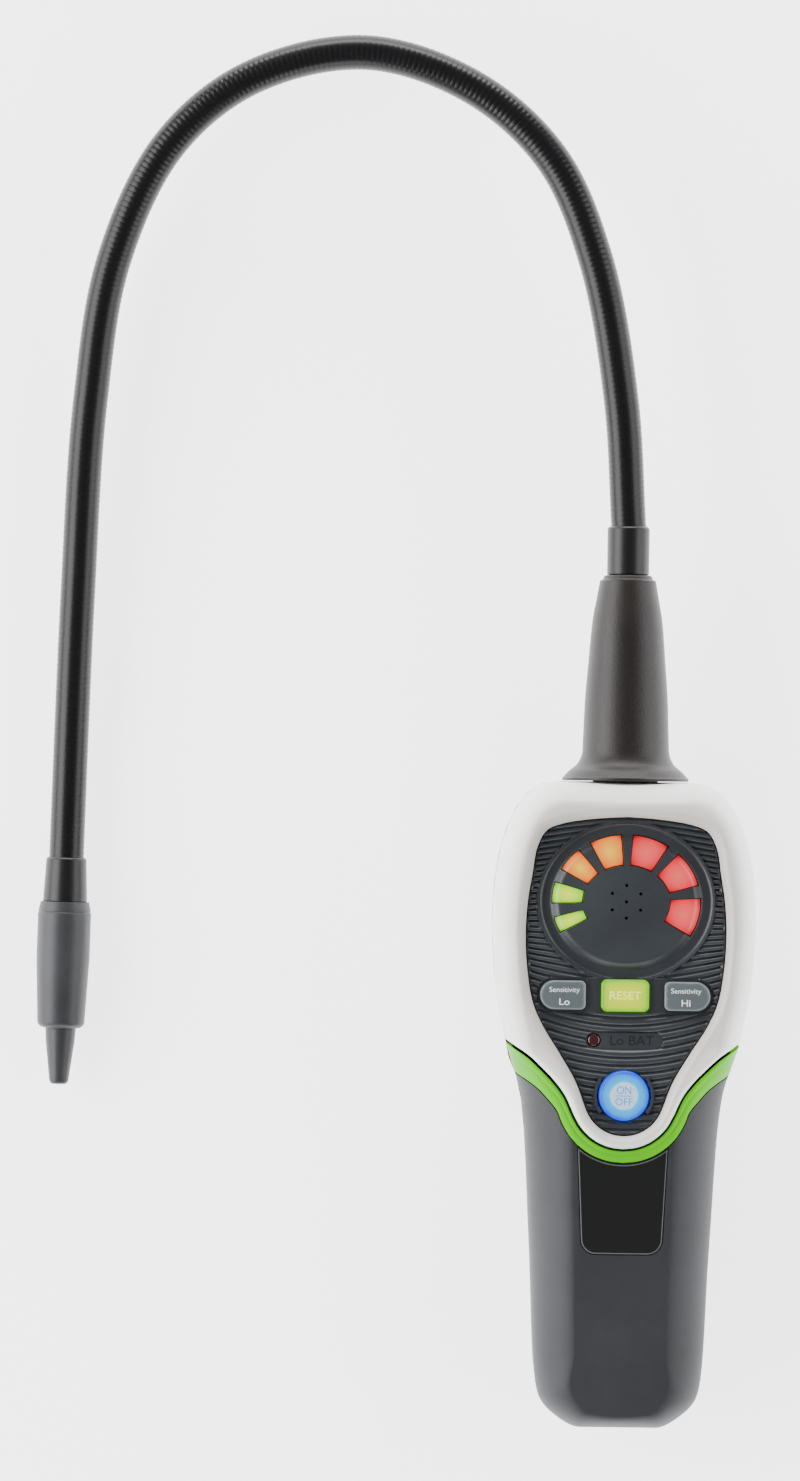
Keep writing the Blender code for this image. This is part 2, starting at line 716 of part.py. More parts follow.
def handset_rings():
    """Feet, directions and lengths of the spokes to the handset's outline."""
    outline = mirrored(resample(SIDE, HANDSET_STATIONS, turn_weight=0.012))
    low_y = -HALF_LENGTH + HANDLE_END_WIDTH / 2
    return spokes(outline, low_y, HALF_LENGTH - HEAD_FAN_DROP)


def tray_loops(inset, top):
    """Loops of the rear housing's surface at an inset from the outside, from its top to its floor."""
    feet, aims, lengths = handset_rings()
    radius = BACK_ROUND - inset
    heights = [top]
    insets = [inset]
    for angle in np.radians(np.linspace(0, 90, 5)):
        insets.append(inset + radius * (1 - math.cos(angle)))
        heights.append(BACK_ROUND - radius * math.sin(angle))
    loops = []
    for offset, height in zip(insets, heights):
        points = feet + aims * (lengths - offset)[:, None]
        loops.append([(x, y, height) for x, y in points])
    return loops


def tray_shell(name, finish):
    """The rear housing's open tray."""
    top = SPLIT_HEIGHT - GAP / 2
    return loft(name, tray_loops(0.0, top)[::-1] + tray_loops(WALL, top), finish)


def rear_plate(low_y, high_y, low, high):
    """A cross wall that reaches halfway into the tray's side walls."""
    inset = WALL / 2
    half = min(side_at(low_y), side_at(high_y)) - inset
    radius = BACK_ROUND - inset
    section = []
    for height in np.linspace(low, high, 7):
        below = max(BACK_ROUND - height, 0.0)
        section.append((half - radius + math.sqrt(radius ** 2 - below ** 2), height))
    outline = section + [(-x, z) for x, z in section[::-1]]
    return loft("cross_wall", [[(x, y, z) for x, z in outline] for y in (low_y, high_y)])


def screw_places():
    """Plan positions of the four housing screws."""
    head_x = HEAD_WIDTH / 2 - HEAD_SCREW_INSET
    return [
        (-head_x, HEAD_SCREW_Y),
        (head_x, HEAD_SCREW_Y),
        (-HANDLE_SCREW_X, HANDLE_SCREW_Y),
        (HANDLE_SCREW_X, HANDLE_SCREW_Y),
    ]


def neck_hole(radius):
    """A cutter along the neck's axis through the head's top wall."""
    cutter = turned("neck_hole", [(radius, 0.0), (radius, 3 * WALL)], centred=True, segments=26)
    cutter.rotation_euler = (-math.pi / 2, 0, 0)
    cutter.location = (0.0, HALF_LENGTH - 2 * WALL, NECK_HEIGHT)
    bpy.context.view_layer.update()
    return cutter


def screw_hole(low, high, place):
    """A cutter for a screw's shank between two heights."""
    return rod("screw_hole", SCREW_SHANK_RADIUS + GAP, low, high, place, segments=12)


def door_region(name, front_y, top):
    """The space that the battery door takes, up to a front edge and a top."""
    return block(name, (-HEAD_WIDTH, HEAD_WIDTH), (-HANDSET_LENGTH, front_y), (-WALL, top))


def build_rear_housing():
    """Rear housing: the tray with its posts, cross walls, door opening and neck notch."""
    housing = tray_shell("rear_housing", "dark_grip")
    for place in screw_places():
        post = rod("post", POST_RADIUS, 0.0, SCREW_SEAT_HEIGHT + POST_SHOULDER, place)
        keep(post, loft("hull", tray_loops(WALL / 4, HEAD_FACE_HEIGHT)[::-1]))
        join(post, rod("pillar", BOSS_RADIUS, SCREW_SEAT_HEIGHT, POST_TOP, place))
        join(housing, post)
    plate_top = SPLIT_HEIGHT - WALL
    join(housing, rear_plate(BULKHEAD_Y, BULKHEAD_Y + BULKHEAD_THICKNESS, BULKHEAD_CLEARANCE, plate_top))
    end_y = CELL_END_Y - 2 * GAP - CONTACT_THICKNESS
    join(housing, rear_plate(end_y - BULKHEAD_THICKNESS, end_y, DOOR_HEIGHT + 2 * GAP, plate_top))
    cut(housing, door_region("door_opening", BULKHEAD_Y, DOOR_HEIGHT + GAP))
    cut(housing, neck_hole(BOOT_SHANK_RADIUS + GAP))
    for place in screw_places():
        cut(housing, rod("access", SCREW_HEAD_RADIUS + GAP, -WALL, SCREW_SEAT_HEIGHT, place))
        cut(housing, screw_hole(SCREW_SEAT_HEIGHT - WALL, HEAD_FACE_HEIGHT, place))
    return housing


def build_battery_door():
    """Battery door: the tray's end part, with a tongue and thumb grooves. It slides off along -Y."""
    door = tray_shell("battery_door", "dark_grip")
    keep(door, door_region("region", BULKHEAD_Y - GAP, DOOR_HEIGHT))
    across = (-TONGUE_WIDTH / 2, TONGUE_WIDTH / 2)
    root_y = BULKHEAD_Y - TONGUE_ROOT
    low = WALL + GAP
    high = low + TONGUE_THICKNESS
    tongue = block("tongue", across, (root_y, BULKHEAD_Y + TONGUE_LENGTH), (low, high))
    join(tongue, block("web", across, (root_y, BULKHEAD_Y - GAP), (WALL / 2, high)))
    join(door, tongue)
    across = (-THUMB_GROOVE_WIDTH / 2, THUMB_GROOVE_WIDTH / 2)
    for i in range(THUMB_GROOVES):
        y = THUMB_GROOVE_INSET - HALF_LENGTH + i * THUMB_GROOVE_PITCH
        along = (y, y + THUMB_GROOVE_PITCH / 2)
        cut(door, block("groove", across, along, (-WALL, THUMB_GROOVE_DEPTH)))
    return set_origin(door, (0.0, BULKHEAD_Y, DOOR_HEIGHT / 2))


def grip_loops(inset):
    """Loops of the handle's front surface at an inset from the outside, from its split to its facet."""
    feet, aims, lengths = handset_rings()
    bottom = SPLIT_HEIGHT + GAP / 2
    steps = np.radians(np.linspace(0, 90, 7))
    loops = [[] for _ in range(len(steps) + 1)]
    for foot, aim, length in zip(feet, aims, lengths):
        across, along = abs(aim[0]), abs(aim[1])
        width = across * HANDLE_ROUND_SHARE * length + along * HANDLE_END_ROUND
        edge = foot + aim * length
        side_drop = handle_face(edge[1]) - SPLIT_HEIGHT - HANDLE_SIDE_WALL
        drop = across * side_drop + along * HANDLE_END_ROUND_HEIGHT
        start = foot + aim * (length - inset)
        loops[0].append((start[0], start[1], bottom))
        for loop, angle in zip(loops[1:], steps):
            offset = inset + (width - inset) * (1 - math.cos(angle))
            place = foot + aim * (length - offset)
            face = handle_face(place[1]) - inset
            loop.append((place[0], place[1], face - (drop - inset) * (1 - math.sin(angle))))
    return loops


def above_trim(outset):
    """Plan outline of everything on the head's side of the trim's outer edge, moved by an outset."""
    half = [tuple(point) for point in shifted(clipped(TRIM_OUTER_EDGE), outset)]
    beyond = np.array(half[-1]) - np.array(half[-2])
    half.append(tuple(np.array(half[-1]) + beyond / np.linalg.norm(beyond) * HEAD_WIDTH / 4))
    half.append((HEAD_WIDTH, HANDSET_LENGTH))
    half.append((0.0, HANDSET_LENGTH))
    return mirrored(half)


def label_outline(inset, top_gap):
    """Outline of the label, whose top follows the trim at a gap."""
    low = LABEL_BOTTOM_WIDTH / 2 - inset
    high = LABEL_TOP_WIDTH / 2 - inset
    radius = TRIM_OUTER_RADIUS + top_gap
    angle = math.degrees(math.asin(high / radius))
    top = arc_points((0.0, POWER_BUTTON_Y), radius, -90 + angle, -90, 4)
    corner = LABEL_CORNER - inset
    bottom_y = LABEL_BOTTOM_Y + inset
    bend = arc_points((low - corner, bottom_y + corner), corner, -90, 0, 4)
    return mirrored([(0.0, bottom_y)] + bend + top)


def build_front_grip():
    """Front shell of the handle, with the label's pocket and the two screw bosses."""
    outer = grip_loops(0.0)
    inner = grip_loops(WALL)
    grip = loft("front_grip", outer[::-1] + inner, "dark_grip")
    cut(grip, prism("head_region", above_trim(GAP), 0.0, 2 * HEAD_FACE_HEIGHT))
    for place in screw_places()[2:]:
        boss_top = handle_face(place[1]) - WALL / 2 - GAP - LABEL_THICKNESS
        join(grip, rod("boss", BOSS_RADIUS, BOARD_TOP_HEIGHT + GAP, boss_top, place))
        cut(grip, screw_hole(0.0, PILOT_TOP, place))
    pocket = prism(
        "pocket",
        label_outline(-GAP, -GAP),
        lambda x, y: handle_face(y) - LABEL_THICKNESS - GAP,
        lambda x, y: handle_face(y) + WALL,
    )
    return cut(grip, pocket)


def build_name_label():
    """Thin dark label in its pocket on the handle."""
    label = prism(
        "name_label",
        label_outline(0.0, 2 * GAP),
        lambda x, y: handle_face(y) - LABEL_THICKNESS,
        lambda x, y: handle_face(y),
        "label_black",
    )
    return set_origin(label, (0.0, LABEL_BOTTOM_Y, handle_face(LABEL_BOTTOM_Y)))


def bezel_rings():
    """Spokes to the bezel's outer edge: feet, directions, reach to the opening and to the edge, and
    whether the edge is the handset's side."""
    toe = shifted(clipped(TRIM_INNER_EDGE), -GAP)[:-1]
    corner_y = clipped(TRIM_INNER_EDGE)[-1][1] + 1.4 * GAP
    rising = SIDE[SIDE[:, 1] > corner_y]
    upper = resample(np.vstack([(side_at(corner_y), corner_y), rising]), BEZEL_STATIONS, turn_weight=0.012)
    half = np.vstack([toe, upper])
    outline = mirrored(half)
    feet, aims, outer = spokes(outline, POWER_BUTTON_Y, HALF_LENGTH - BEZEL_FAN_DROP)
    inner = np.array([ray_length(PANEL_EDGE, foot, aim) for foot, aim in zip(feet, aims)])
    on_side = [y >= corner_y - GAP / 10 for _, y in outline]
    return feet, aims, inner, outer, on_side


def panel_outline():
    """The control panel's outline, with its points on the bezel's spokes."""
    feet, aims, inner, _, _ = bezel_rings()
    return [tuple(point) for point in feet + aims * inner[:, None]]


def bezel_height(point, edge_inset, opening_inset):
    """Height of the bezel's surface at a plan point, with its edge rounds."""
    edge = quarter(max(edge_inset, 0.0), BEZEL_EDGE_ROUND, BEZEL_EDGE_ROUND)
    share = max(1.0 - opening_inset / BEZEL_SLOPE_WIDTH, 0.0)
    return bezel_surface(point[0], point[1]) - edge - BEZEL_SLOPE_DROP * share ** 1.5


def boss_top(x, y):
    """Height of a bezel boss, whose top ends inside the bezel's wall."""
    return min(bezel_surface(x, y), HEAD_FACE_HEIGHT - BEZEL_SLOPE_DROP) - WALL / 4


def build_front_bezel():
    """White front shell of the head: a ring from the panel opening out to its side and the trim."""
    feet, aims, inner, outers, sides = bezel_rings()
    shares = (0.0, 0.04, 0.12, 0.25, 0.45, 0.72, 0.88, 1.0)
    ledge_top = PANEL_UNDERSIDE - GAP
    ledge_low = ledge_top - LEDGE_THICKNESS
    columns = []
    for foot, aim, reach_in, outer, on_side in zip(feet, aims, inner, outers, sides):
        opening = reach_in + GAP
        column = []

        def add(reach, height):
            column.append((*(foot + aim * reach), height))

        surface = []
        for share in shares:
            reach = outer + (opening - outer) * share
            inset = math.inf if on_side else outer - reach
            surface.append((reach, bezel_height(foot + aim * reach, inset, reach - opening)))
        edge_height = surface[0][1]
        low = SPLIT_HEIGHT + GAP / 2
        if not on_side:
            low = max(low, edge_height - BEZEL_EDGE_SKIRT)
        add(outer, low)
        for reach, height in surface:
            add(reach, height)
        add(opening, ledge_top)
        add(opening - LEDGE_WIDTH - GAP, ledge_top)
        add(opening - LEDGE_WIDTH - GAP, ledge_low)
        add(opening + BEZEL_RIM_WALL, ledge_low)
        rim_height = bezel_height(foot + aim * (opening + BEZEL_RIM_WALL), math.inf, BEZEL_RIM_WALL)
        add(opening + BEZEL_RIM_WALL, rim_height - WALL)
        for number, angle in enumerate(np.radians((62.0, 35.0, 10.0))):
            if on_side:
                inset = WALL + (BEZEL_ROUND_WIDTH - WALL) * (1 - math.cos(angle))
                rise = (BEZEL_ROUND_HEIGHT - WALL) * (1 - math.sin(angle))
                add(outer - inset, HEAD_FACE_HEIGHT - WALL - rise)
            else:
                add(outer - WALL - (2 - number) * GAP / 4, edge_height - (number + 1) * WALL / 5)
        add(outer - WALL, low)
        columns.append(column)
    loops = [list(loop) for loop in zip(*columns)]
    bezel = loft("front_bezel", loops, "white_shell", caps=False)
    for place_xy in screw_places()[:2]:
        join(bezel, rod("boss", BOSS_RADIUS, BOARD_TOP_HEIGHT + GAP, boss_top, place_xy))
        cut(bezel, screw_hole(0.0, PILOT_TOP, place_xy))
    return cut(bezel, neck_hole(BOOT_SHANK_RADIUS + GAP))


def build_accent_trim():
    """Green band that runs from one side of the split, over the front below the bezel, to the other."""
    inner_edge = clipped(TRIM_INNER_EDGE)
    outer_edge = clipped(TRIM_OUTER_EDGE)
    sections = []
    for inner, outer in zip(inner_edge, outer_edge):
        section = []
        for (x, y), edge, surface, step, span in (
            (inner, inner_edge, bezel_surface, -BEZEL_EDGE_ROUND - TRIM_STEP, BEZEL_ROUND_WIDTH),
            (outer, outer_edge, handle_surface, TRIM_STEP, HANDLE_ROUND_SHARE * side_at(outer[1])),
        ):
            share = max(1.0 - max(side_at(y) - x, 0.0) / span, 0.0)
            height = surface(x, y) + step * (1.0 - share)
            low_x = x - TRIM_THICKNESS * share
            low_y = float(np.interp(low_x, edge[:, 0], edge[:, 1]))
            low_height = height - TRIM_THICKNESS * math.sqrt(1 - share * share)
            section.append(((x, y, height), (low_x, low_y, low_height)))
        (top_in, low_in), (top_out, low_out) = section
        sections.append((top_in, top_out, low_out, low_in))
    bottom = SPLIT_HEIGHT + GAP / 2
    last = [(x, y, bottom) for x, y, _ in sections[-1]]
    half = sections + [last]
    left = [[(-x, y, z) for x, y, z in section] for section in half[1:]]
    return loft("accent_trim", left[::-1] + half, "green_trim")


def rib_rows():
    """Middle heights of the rib peaks and valleys, from below the toe to above the top."""
    low = POWER_BUTTON_Y - PANEL_TOE_RADIUS - 3.3 * RIB_PITCH
    high = PANEL_TOP_Y + RIB_ARCH + 2 * RIB_PITCH
    count = int((high - low) / (RIB_PITCH / 2))
    return [low + i * RIB_PITCH / 2 for i in range(count + 1)]


def rib_bow(y):
    """How far a rib's ends lie below its middle, arched at the top and sagging at the bottom."""
    knots = (BUTTON_ROW_Y, HALF_LENGTH - RIB_LEVEL_DROP, PANEL_TOP_Y)
    return float(np.interp(y, knots, (-RIB_SAG, 0.0, RIB_ARCH)))


def ribbed_slab():
    """A slab with the panel's ribs on its upper face, larger than the panel."""
    mesh_data = bmesh.new()
    half = PANEL_WIDTH / 2
    xs = np.linspace(-1.06 * half, 1.06 * half, RIB_COLUMNS + 1)
    rows = rib_rows()
    top = []
    for k, y in enumerate(rows):
        height = PANEL_FACE_HEIGHT - (RIB_HEIGHT if k % 2 else 0.0)
        top.append([mesh_data.verts.new((x, y - rib_bow(y) * (x / half) ** 2, height)) for x in xs])
    for lower, upper in zip(top, top[1:]):
        for i in range(RIB_COLUMNS):
            mesh_data.faces.new((lower[i], lower[i + 1], upper[i + 1], upper[i]))
    border = top[0] + [row[-1] for row in top[1:]] + top[-1][-2::-1] + [row[0] for row in top[-2:0:-1]]
    base = [mesh_data.verts.new((v.co.x, v.co.y, PANEL_UNDERSIDE)) for v in border]
    for i in range(len(border)):
        j = (i + 1) % len(border)
        mesh_data.faces.new((border[i], base[i], base[j], border[j]))
    mesh_data.faces.new(base)
    return new_object("control_panel", mesh_data, "panel_grey")


def dial_point(angle, outer_share, outset=0.0):
    """Plan point on the window band: share 0 is its inner edge and 1 its outer edge."""
    width = WINDOW_OUTER_WIDTH / 2 - WINDOW_DEPTH * (1 - outer_share) + outset
    height = WINDOW_OUTER_HEIGHT / 2 - WINDOW_DEPTH * (1 - outer_share) + outset
    return (width * math.cos(math.radians(angle)), DIAL_Y + height * math.sin(math.radians(angle)))


def window_outline(start, end, clearance, outset=0.0):
    """Outline of a display window, with a clearance all round and an outset at its two arcs."""
    outer_turn = math.degrees(clearance / (WINDOW_OUTER_WIDTH / 2))
    inner_turn = math.degrees(clearance / (WINDOW_OUTER_WIDTH / 2 - WINDOW_DEPTH))
    outer_angles = np.linspace(start - outer_turn, end + outer_turn, WINDOW_STEPS + 1)
    inner_angles = np.linspace(start - inner_turn, end + inner_turn, WINDOW_STEPS + 1)
    outer = [dial_point(a, 1.0, clearance + outset) for a in outer_angles]
    inner = [dial_point(a, 0.0, -clearance - outset) for a in inner_angles]
    return outer + inner[::-1]


def plateau_height(x, y):
    """Height of the plateau's flat top and its bevelled rim."""
    radial = math.hypot(x / (PLATEAU_WIDTH / 2), (y - DIAL_Y) / (PLATEAU_HEIGHT / 2))
    beyond = (radial - 1.0) * PLATEAU_WIDTH / 2
    drop = DIAL_RECESS_DEPTH * min(max(beyond / PLATEAU_FOOT, 0.0), 1.0)
    return PANEL_FACE_HEIGHT - drop


def guard_outline(side):
    """One curved guard beside the power button."""
    middle = 0.0 if side > 0 else 180.0
    centre = (0.0, POWER_BUTTON_Y)
    start, end = middle - GUARD_HALF_ANGLE, middle + GUARD_HALF_ANGLE
    outer = arc_points(centre, GUARD_RADIUS + GUARD_WIDTH / 2, start, end, 6)
    inner = arc_points(centre, GUARD_RADIUS - GUARD_WIDTH / 2, start, end, 6)
    return outer + inner[::-1]


def side_button_outline(side, clearance):
    """Outline of a sensitivity button, fully round at its outer end."""
    outer = SIDE_BUTTON_HEIGHT / 2 + clearance
    inner = SIDE_BUTTON_CORNER + clearance
    radii = (outer, inner) if side < 0 else (inner, outer)
    width = SIDE_BUTTON_WIDTH + 2 * clearance
    height = SIDE_BUTTON_HEIGHT + 2 * clearance
    return rounded_outline(width, height, *radii, centre=(side * SIDE_BUTTON_X, BUTTON_ROW_Y))


def reset_outline(clearance):
    """Outline of the reset button."""
    corner = RESET_CORNER + clearance
    width = RESET_WIDTH + 2 * clearance
    height = RESET_HEIGHT + 2 * clearance
    return rounded_outline(width, height, corner, corner, centre=(0.0, BUTTON_ROW_Y))


def power_outline(clearance):
    """Outline of the round power button."""
    size = 2 * (POWER_BUTTON_RADIUS + clearance)
    return ellipse(size, size, (0.0, POWER_BUTTON_Y), steps=20)


def lamp_outline(clearance):
    """Outline of the low battery lamp."""
    size = 2 * (LAMP_RADIUS + clearance)
    return ellipse(size, size, (LAMP_X, PILL_Y), steps=12)


def build_control_panel():
    """Ribbed panel with the dial, the windows' and buttons' openings and the lamp's recess."""
    panel = ribbed_slab()
    low, high = PANEL_UNDERSIDE - WALL, PANEL_FACE_HEIGHT + WALL
    keep(panel, prism("shield", panel_outline(), low, high))
    dial = (0.0, DIAL_Y)
    moat = PANEL_FACE_HEIGHT - DIAL_RECESS_DEPTH
    cut(panel, prism("dial_recess", ellipse(DIAL_RECESS_WIDTH, DIAL_RECESS_HEIGHT, dial), moat, high))
    foot = ellipse(PLATEAU_WIDTH + 2 * PLATEAU_FOOT, PLATEAU_HEIGHT + 2 * PLATEAU_FOOT, dial)
    crown = ellipse(PLATEAU_WIDTH, PLATEAU_HEIGHT, dial)
    heights = (moat - DIAL_RECESS_DEPTH, moat, PANEL_FACE_HEIGHT)
    plateau_loops = [[(x, y, z) for x, y in outline] for outline, z in zip((foot, foot, crown), heights)]
    join(panel, loft("plateau", plateau_loops))
    band_width = 2 * SIDE_BUTTON_X + SIDE_BUTTON_WIDTH + 2 * BAND_MARGIN
    band = rounded_outline(band_width, BAND_HEIGHT, BAND_HEIGHT / 2, BAND_HEIGHT / 2, (0.0, BUTTON_ROW_Y))
    cut(panel, prism("band", band, PANEL_FACE_HEIGHT - BAND_DEPTH, high))
    for side in (-1, 1):
        guard_low = PANEL_FACE_HEIGHT - 2 * RIB_HEIGHT
        join(panel, prism("guard", guard_outline(side), guard_low, PANEL_FACE_HEIGHT + GUARD_RISE))
    pill = rounded_outline(PILL_WIDTH, PILL_HEIGHT, PILL_HEIGHT / 2, PILL_HEIGHT / 2, (0.0, PILL_Y))
    cut(panel, prism("pill", pill, PANEL_FACE_HEIGHT - RIB_HEIGHT - PILL_DEPTH, high))
    openings = [window_outline(start, end, GAP / 2) for start, end in WINDOW_ANGLES]
    openings += [side_button_outline(side, GAP) for side in (-1, 1)]
    openings += [reset_outline(GAP), power_outline(GAP), lamp_outline(GAP)]
    cutters = [prism("opening", outline, low, high) for outline in openings]
    circle = arc_points(dial, SPEAKER_HOLE_CIRCLE, 90, 450, SPEAKER_HOLE_COUNT)[:-1]
    for place in [dial] + circle:
        cutters.append(rod("sound_hole", SPEAKER_HOLE_RADIUS, low, high, place, segments=8))
    return weld(cut(panel, gathered("openings", cutters)))


def build_windows():
    """The seven display windows, each held by a flange under the panel."""
    finishes = ("lamp_green",) * 2 + ("lamp_orange",) * 2 + ("lamp_red",) * 3
    flange_top = PANEL_UNDERSIDE - GAP
    for number, ((start, end), finish) in enumerate(zip(WINDOW_ANGLES, finishes), 1):
        outline = window_outline(start, end, -GAP / 2)
        count = WINDOW_STEPS + 1
        outer, inner = outline[:count], outline[count:][::-1]
        shares = []
        for (ox, oy), (ix, iy) in zip(outer, inner):
            radial_out = math.hypot(ox / (PLATEAU_WIDTH / 2), (oy - DIAL_Y) / (PLATEAU_HEIGHT / 2))
            radial_in = math.hypot(ix / (PLATEAU_WIDTH / 2), (iy - DIAL_Y) / (PLATEAU_HEIGHT / 2))
            shares.append((1.0 - radial_in) / (radial_out - radial_in))
        sections = []
        for (ox, oy), (ix, iy), share in zip(outer, inner, shares):
            rim = (ix + (ox - ix) * share, iy + (oy - iy) * share)
            top = [(x, y, plateau_height(x, y)) for x, y in ((ix, iy), rim, (ox, oy))]
            sections.append([(ix, iy, flange_top), *top, (ox, oy, flange_top), (*rim, flange_top)])
        name = f"led_window_{number}"
        window = loft(name, sections, finish)
        flange = window_outline(start, end, -GAP / 2, WINDOW_FLANGE)
        join(window, prism("flange", flange, flange_top - WINDOW_FLANGE_THICKNESS, flange_top))
        set_origin(window, (*dial_point((start + end) / 2, 1.0), flange_top))


def button(name, outline, centre, finish):
    """A push button: a flange under the panel and a cap with a softened edge above it."""
    flange_top = PANEL_UNDERSIDE - GAP
    flange = grown(outline, BUTTON_FLANGE)
    face = PANEL_FACE_HEIGHT + BUTTON_RISE
    layers = (
        (flange, flange_top - BUTTON_FLANGE_THICKNESS),
        (flange, flange_top),
        (outline, flange_top),
        (outline, face - BUTTON_EDGE_ROUND),
        (grown(outline, -BUTTON_EDGE_ROUND), face),
    )
    loops = [[(x, y, z) for x, y in loop] for loop, z in layers]
    return set_origin(loft(name, loops, finish), (*centre, face))


def build_buttons():
    """The four push buttons, which travel down into the panel, and the low battery lamp."""
    for name, side in (("sensitivity_lo_button", -1), ("sensitivity_hi_button", 1)):
        centre = (side * SIDE_BUTTON_X, BUTTON_ROW_Y)
        button(name, side_button_outline(side, 0.0), centre, "button_grey")
    button("reset_button", reset_outline(0.0), (0.0, BUTTON_ROW_Y), "button_reset")
    button("power_button", power_outline(0.0), (0.0, POWER_BUTTON_Y), "button_power")
    floor = PANEL_FACE_HEIGHT - RIB_HEIGHT - PILL_DEPTH
    foot = BOARD_TOP_HEIGHT + GAP
    profile = [(LAMP_RADIUS, foot)]
    for angle in np.radians((0.0, 40.0, 70.0)):
        profile.append((LAMP_RADIUS * math.cos(angle), floor + LAMP_RISE * math.sin(angle)))
    lamp = turned("low_battery_lamp", profile, "low_lamp_red", segments=12, centred=True)
    lamp.location = (LAMP_X, PILL_Y, 0.0)


def build_inside():
    """Circuit board, keypad membrane and speaker."""
    board_half = HEAD_WIDTH / 2 - BOARD_SIDE_INSET
    board_top_y = HALF_LENGTH - BOARD_TOP_INSET
    shape = [
        (0.0, BOARD_TAIL_Y),
        (BOARD_TAIL_WIDTH / 2, BOARD_TAIL_Y),
        (BOARD_TAIL_WIDTH / 2, BOARD_TAIL_TOP_Y),
        (BOARD_WAIST_WIDTH / 2, BOARD_WAIST_Y),
        (board_half, BOARD_SHOULDER_Y),
        (board_half, BOARD_CORNER_Y),
        (BOARD_TOP_WIDTH / 2, board_top_y),
        (0.0, board_top_y),
    ]
    board_low = BOARD_TOP_HEIGHT - BOARD_THICKNESS
    board = prism("circuit_board", mirrored(shape), board_low, BOARD_TOP_HEIGHT, "board_green")
    for place in screw_places():
        cut(board, screw_hole(0.0, HEAD_FACE_HEIGHT, place))
    low = BOARD_TOP_HEIGHT + GAP
    button_half = SIDE_BUTTON_X + SIDE_BUTTON_WIDTH / 2
    pad = [
        (0.0, POWER_BUTTON_Y - POWER_BUTTON_RADIUS),
        (POWER_BUTTON_RADIUS, POWER_BUTTON_Y - POWER_BUTTON_RADIUS),
        (POWER_BUTTON_RADIUS, POWER_BUTTON_Y + POWER_BUTTON_RADIUS),
        (button_half, BUTTON_ROW_Y - SIDE_BUTTON_HEIGHT / 2),
        (button_half, BUTTON_ROW_Y + SIDE_BUTTON_HEIGHT / 2),
        (0.0, BUTTON_ROW_Y + SIDE_BUTTON_HEIGHT / 2),
    ]
    membrane = prism("keypad_membrane", mirrored(pad), low, MEMBRANE_TOP, "membrane_grey")
    cut(membrane, prism("lamp_hole", lamp_outline(GAP), 0.0, HEAD_FACE_HEIGHT))
    speaker_top = low + SPEAKER_THICKNESS
    rod("speaker", SPEAKER_RADIUS, low, speaker_top, (0.0, DIAL_Y), "speaker_black", segments=20)


def build_screws():
    """The four housing screws, put in from the back."""
    for number, (x, y) in enumerate(screw_places(), 1):
        profile = (
            (SCREW_HEAD_RADIUS, -SCREW_HEAD_HEIGHT),
            (SCREW_HEAD_RADIUS, 0.0),
            (SCREW_SHANK_RADIUS, 0.0),
            (SCREW_SHANK_RADIUS, SCREW_LENGTH),
        )
        screw = turned(f"housing_screw_{number}", profile, "steel", segments=12, centred=True)
        screw.location = (x, y, SCREW_SEAT_HEIGHT - GAP)


def cell_places():
    """Section positions of the four cells."""
    half = CELL_SPACING / 2
    low, high = CELL_LOW_HEIGHT, CELL_LOW_HEIGHT + CELL_SPACING
    return [(-half, low), (half, low), (-half, high), (half, high)]


def build_battery_bay():
    """Four AA cells and the contact plates at their ends."""
    for number, (x, z) in enumerate(cell_places(), 1):
        profile = (
            (CELL_RADIUS, 0.0),
            (CELL_RADIUS, CELL_LENGTH - CELL_NUB_LENGTH),
            (CELL_NUB_RADIUS, CELL_LENGTH - CELL_NUB_LENGTH),
            (CELL_NUB_RADIUS, CELL_LENGTH),
        )
        cell = turned(f"battery_{number}", profile, "cell_wrap", segments=16, centred=True)
        cell.rotation_euler = (-math.pi / 2, 0, 0)
        cell.location = (x, CELL_END_Y, z)
    half_x = CELL_SPACING / 2 + CELL_RADIUS - CONTACT_SIDE_INSET
    low = CELL_LOW_HEIGHT - CELL_RADIUS + CONTACT_END_INSET
    high = CELL_LOW_HEIGHT + CELL_SPACING + CELL_RADIUS - CONTACT_END_INSET
    lower_y = CELL_END_Y - GAP - CONTACT_THICKNESS
    for name, y in (("battery_contact_lower", lower_y), ("battery_contact_upper", CELL_TOP_Y + GAP)):
        plate = block(name, (-half_x, half_x), (y, y + CONTACT_THICKNESS), (low, high), "steel")
        set_origin(plate, (0.0, y, (low + high) / 2))


def place_on_neck(target, y):
    """Turn an upright turned piece to lie along +Y at a place on the neck's axis."""
    target.rotation_euler = (-math.pi / 2, 0, 0)
    target.location = (0.0, y, NECK_HEIGHT)


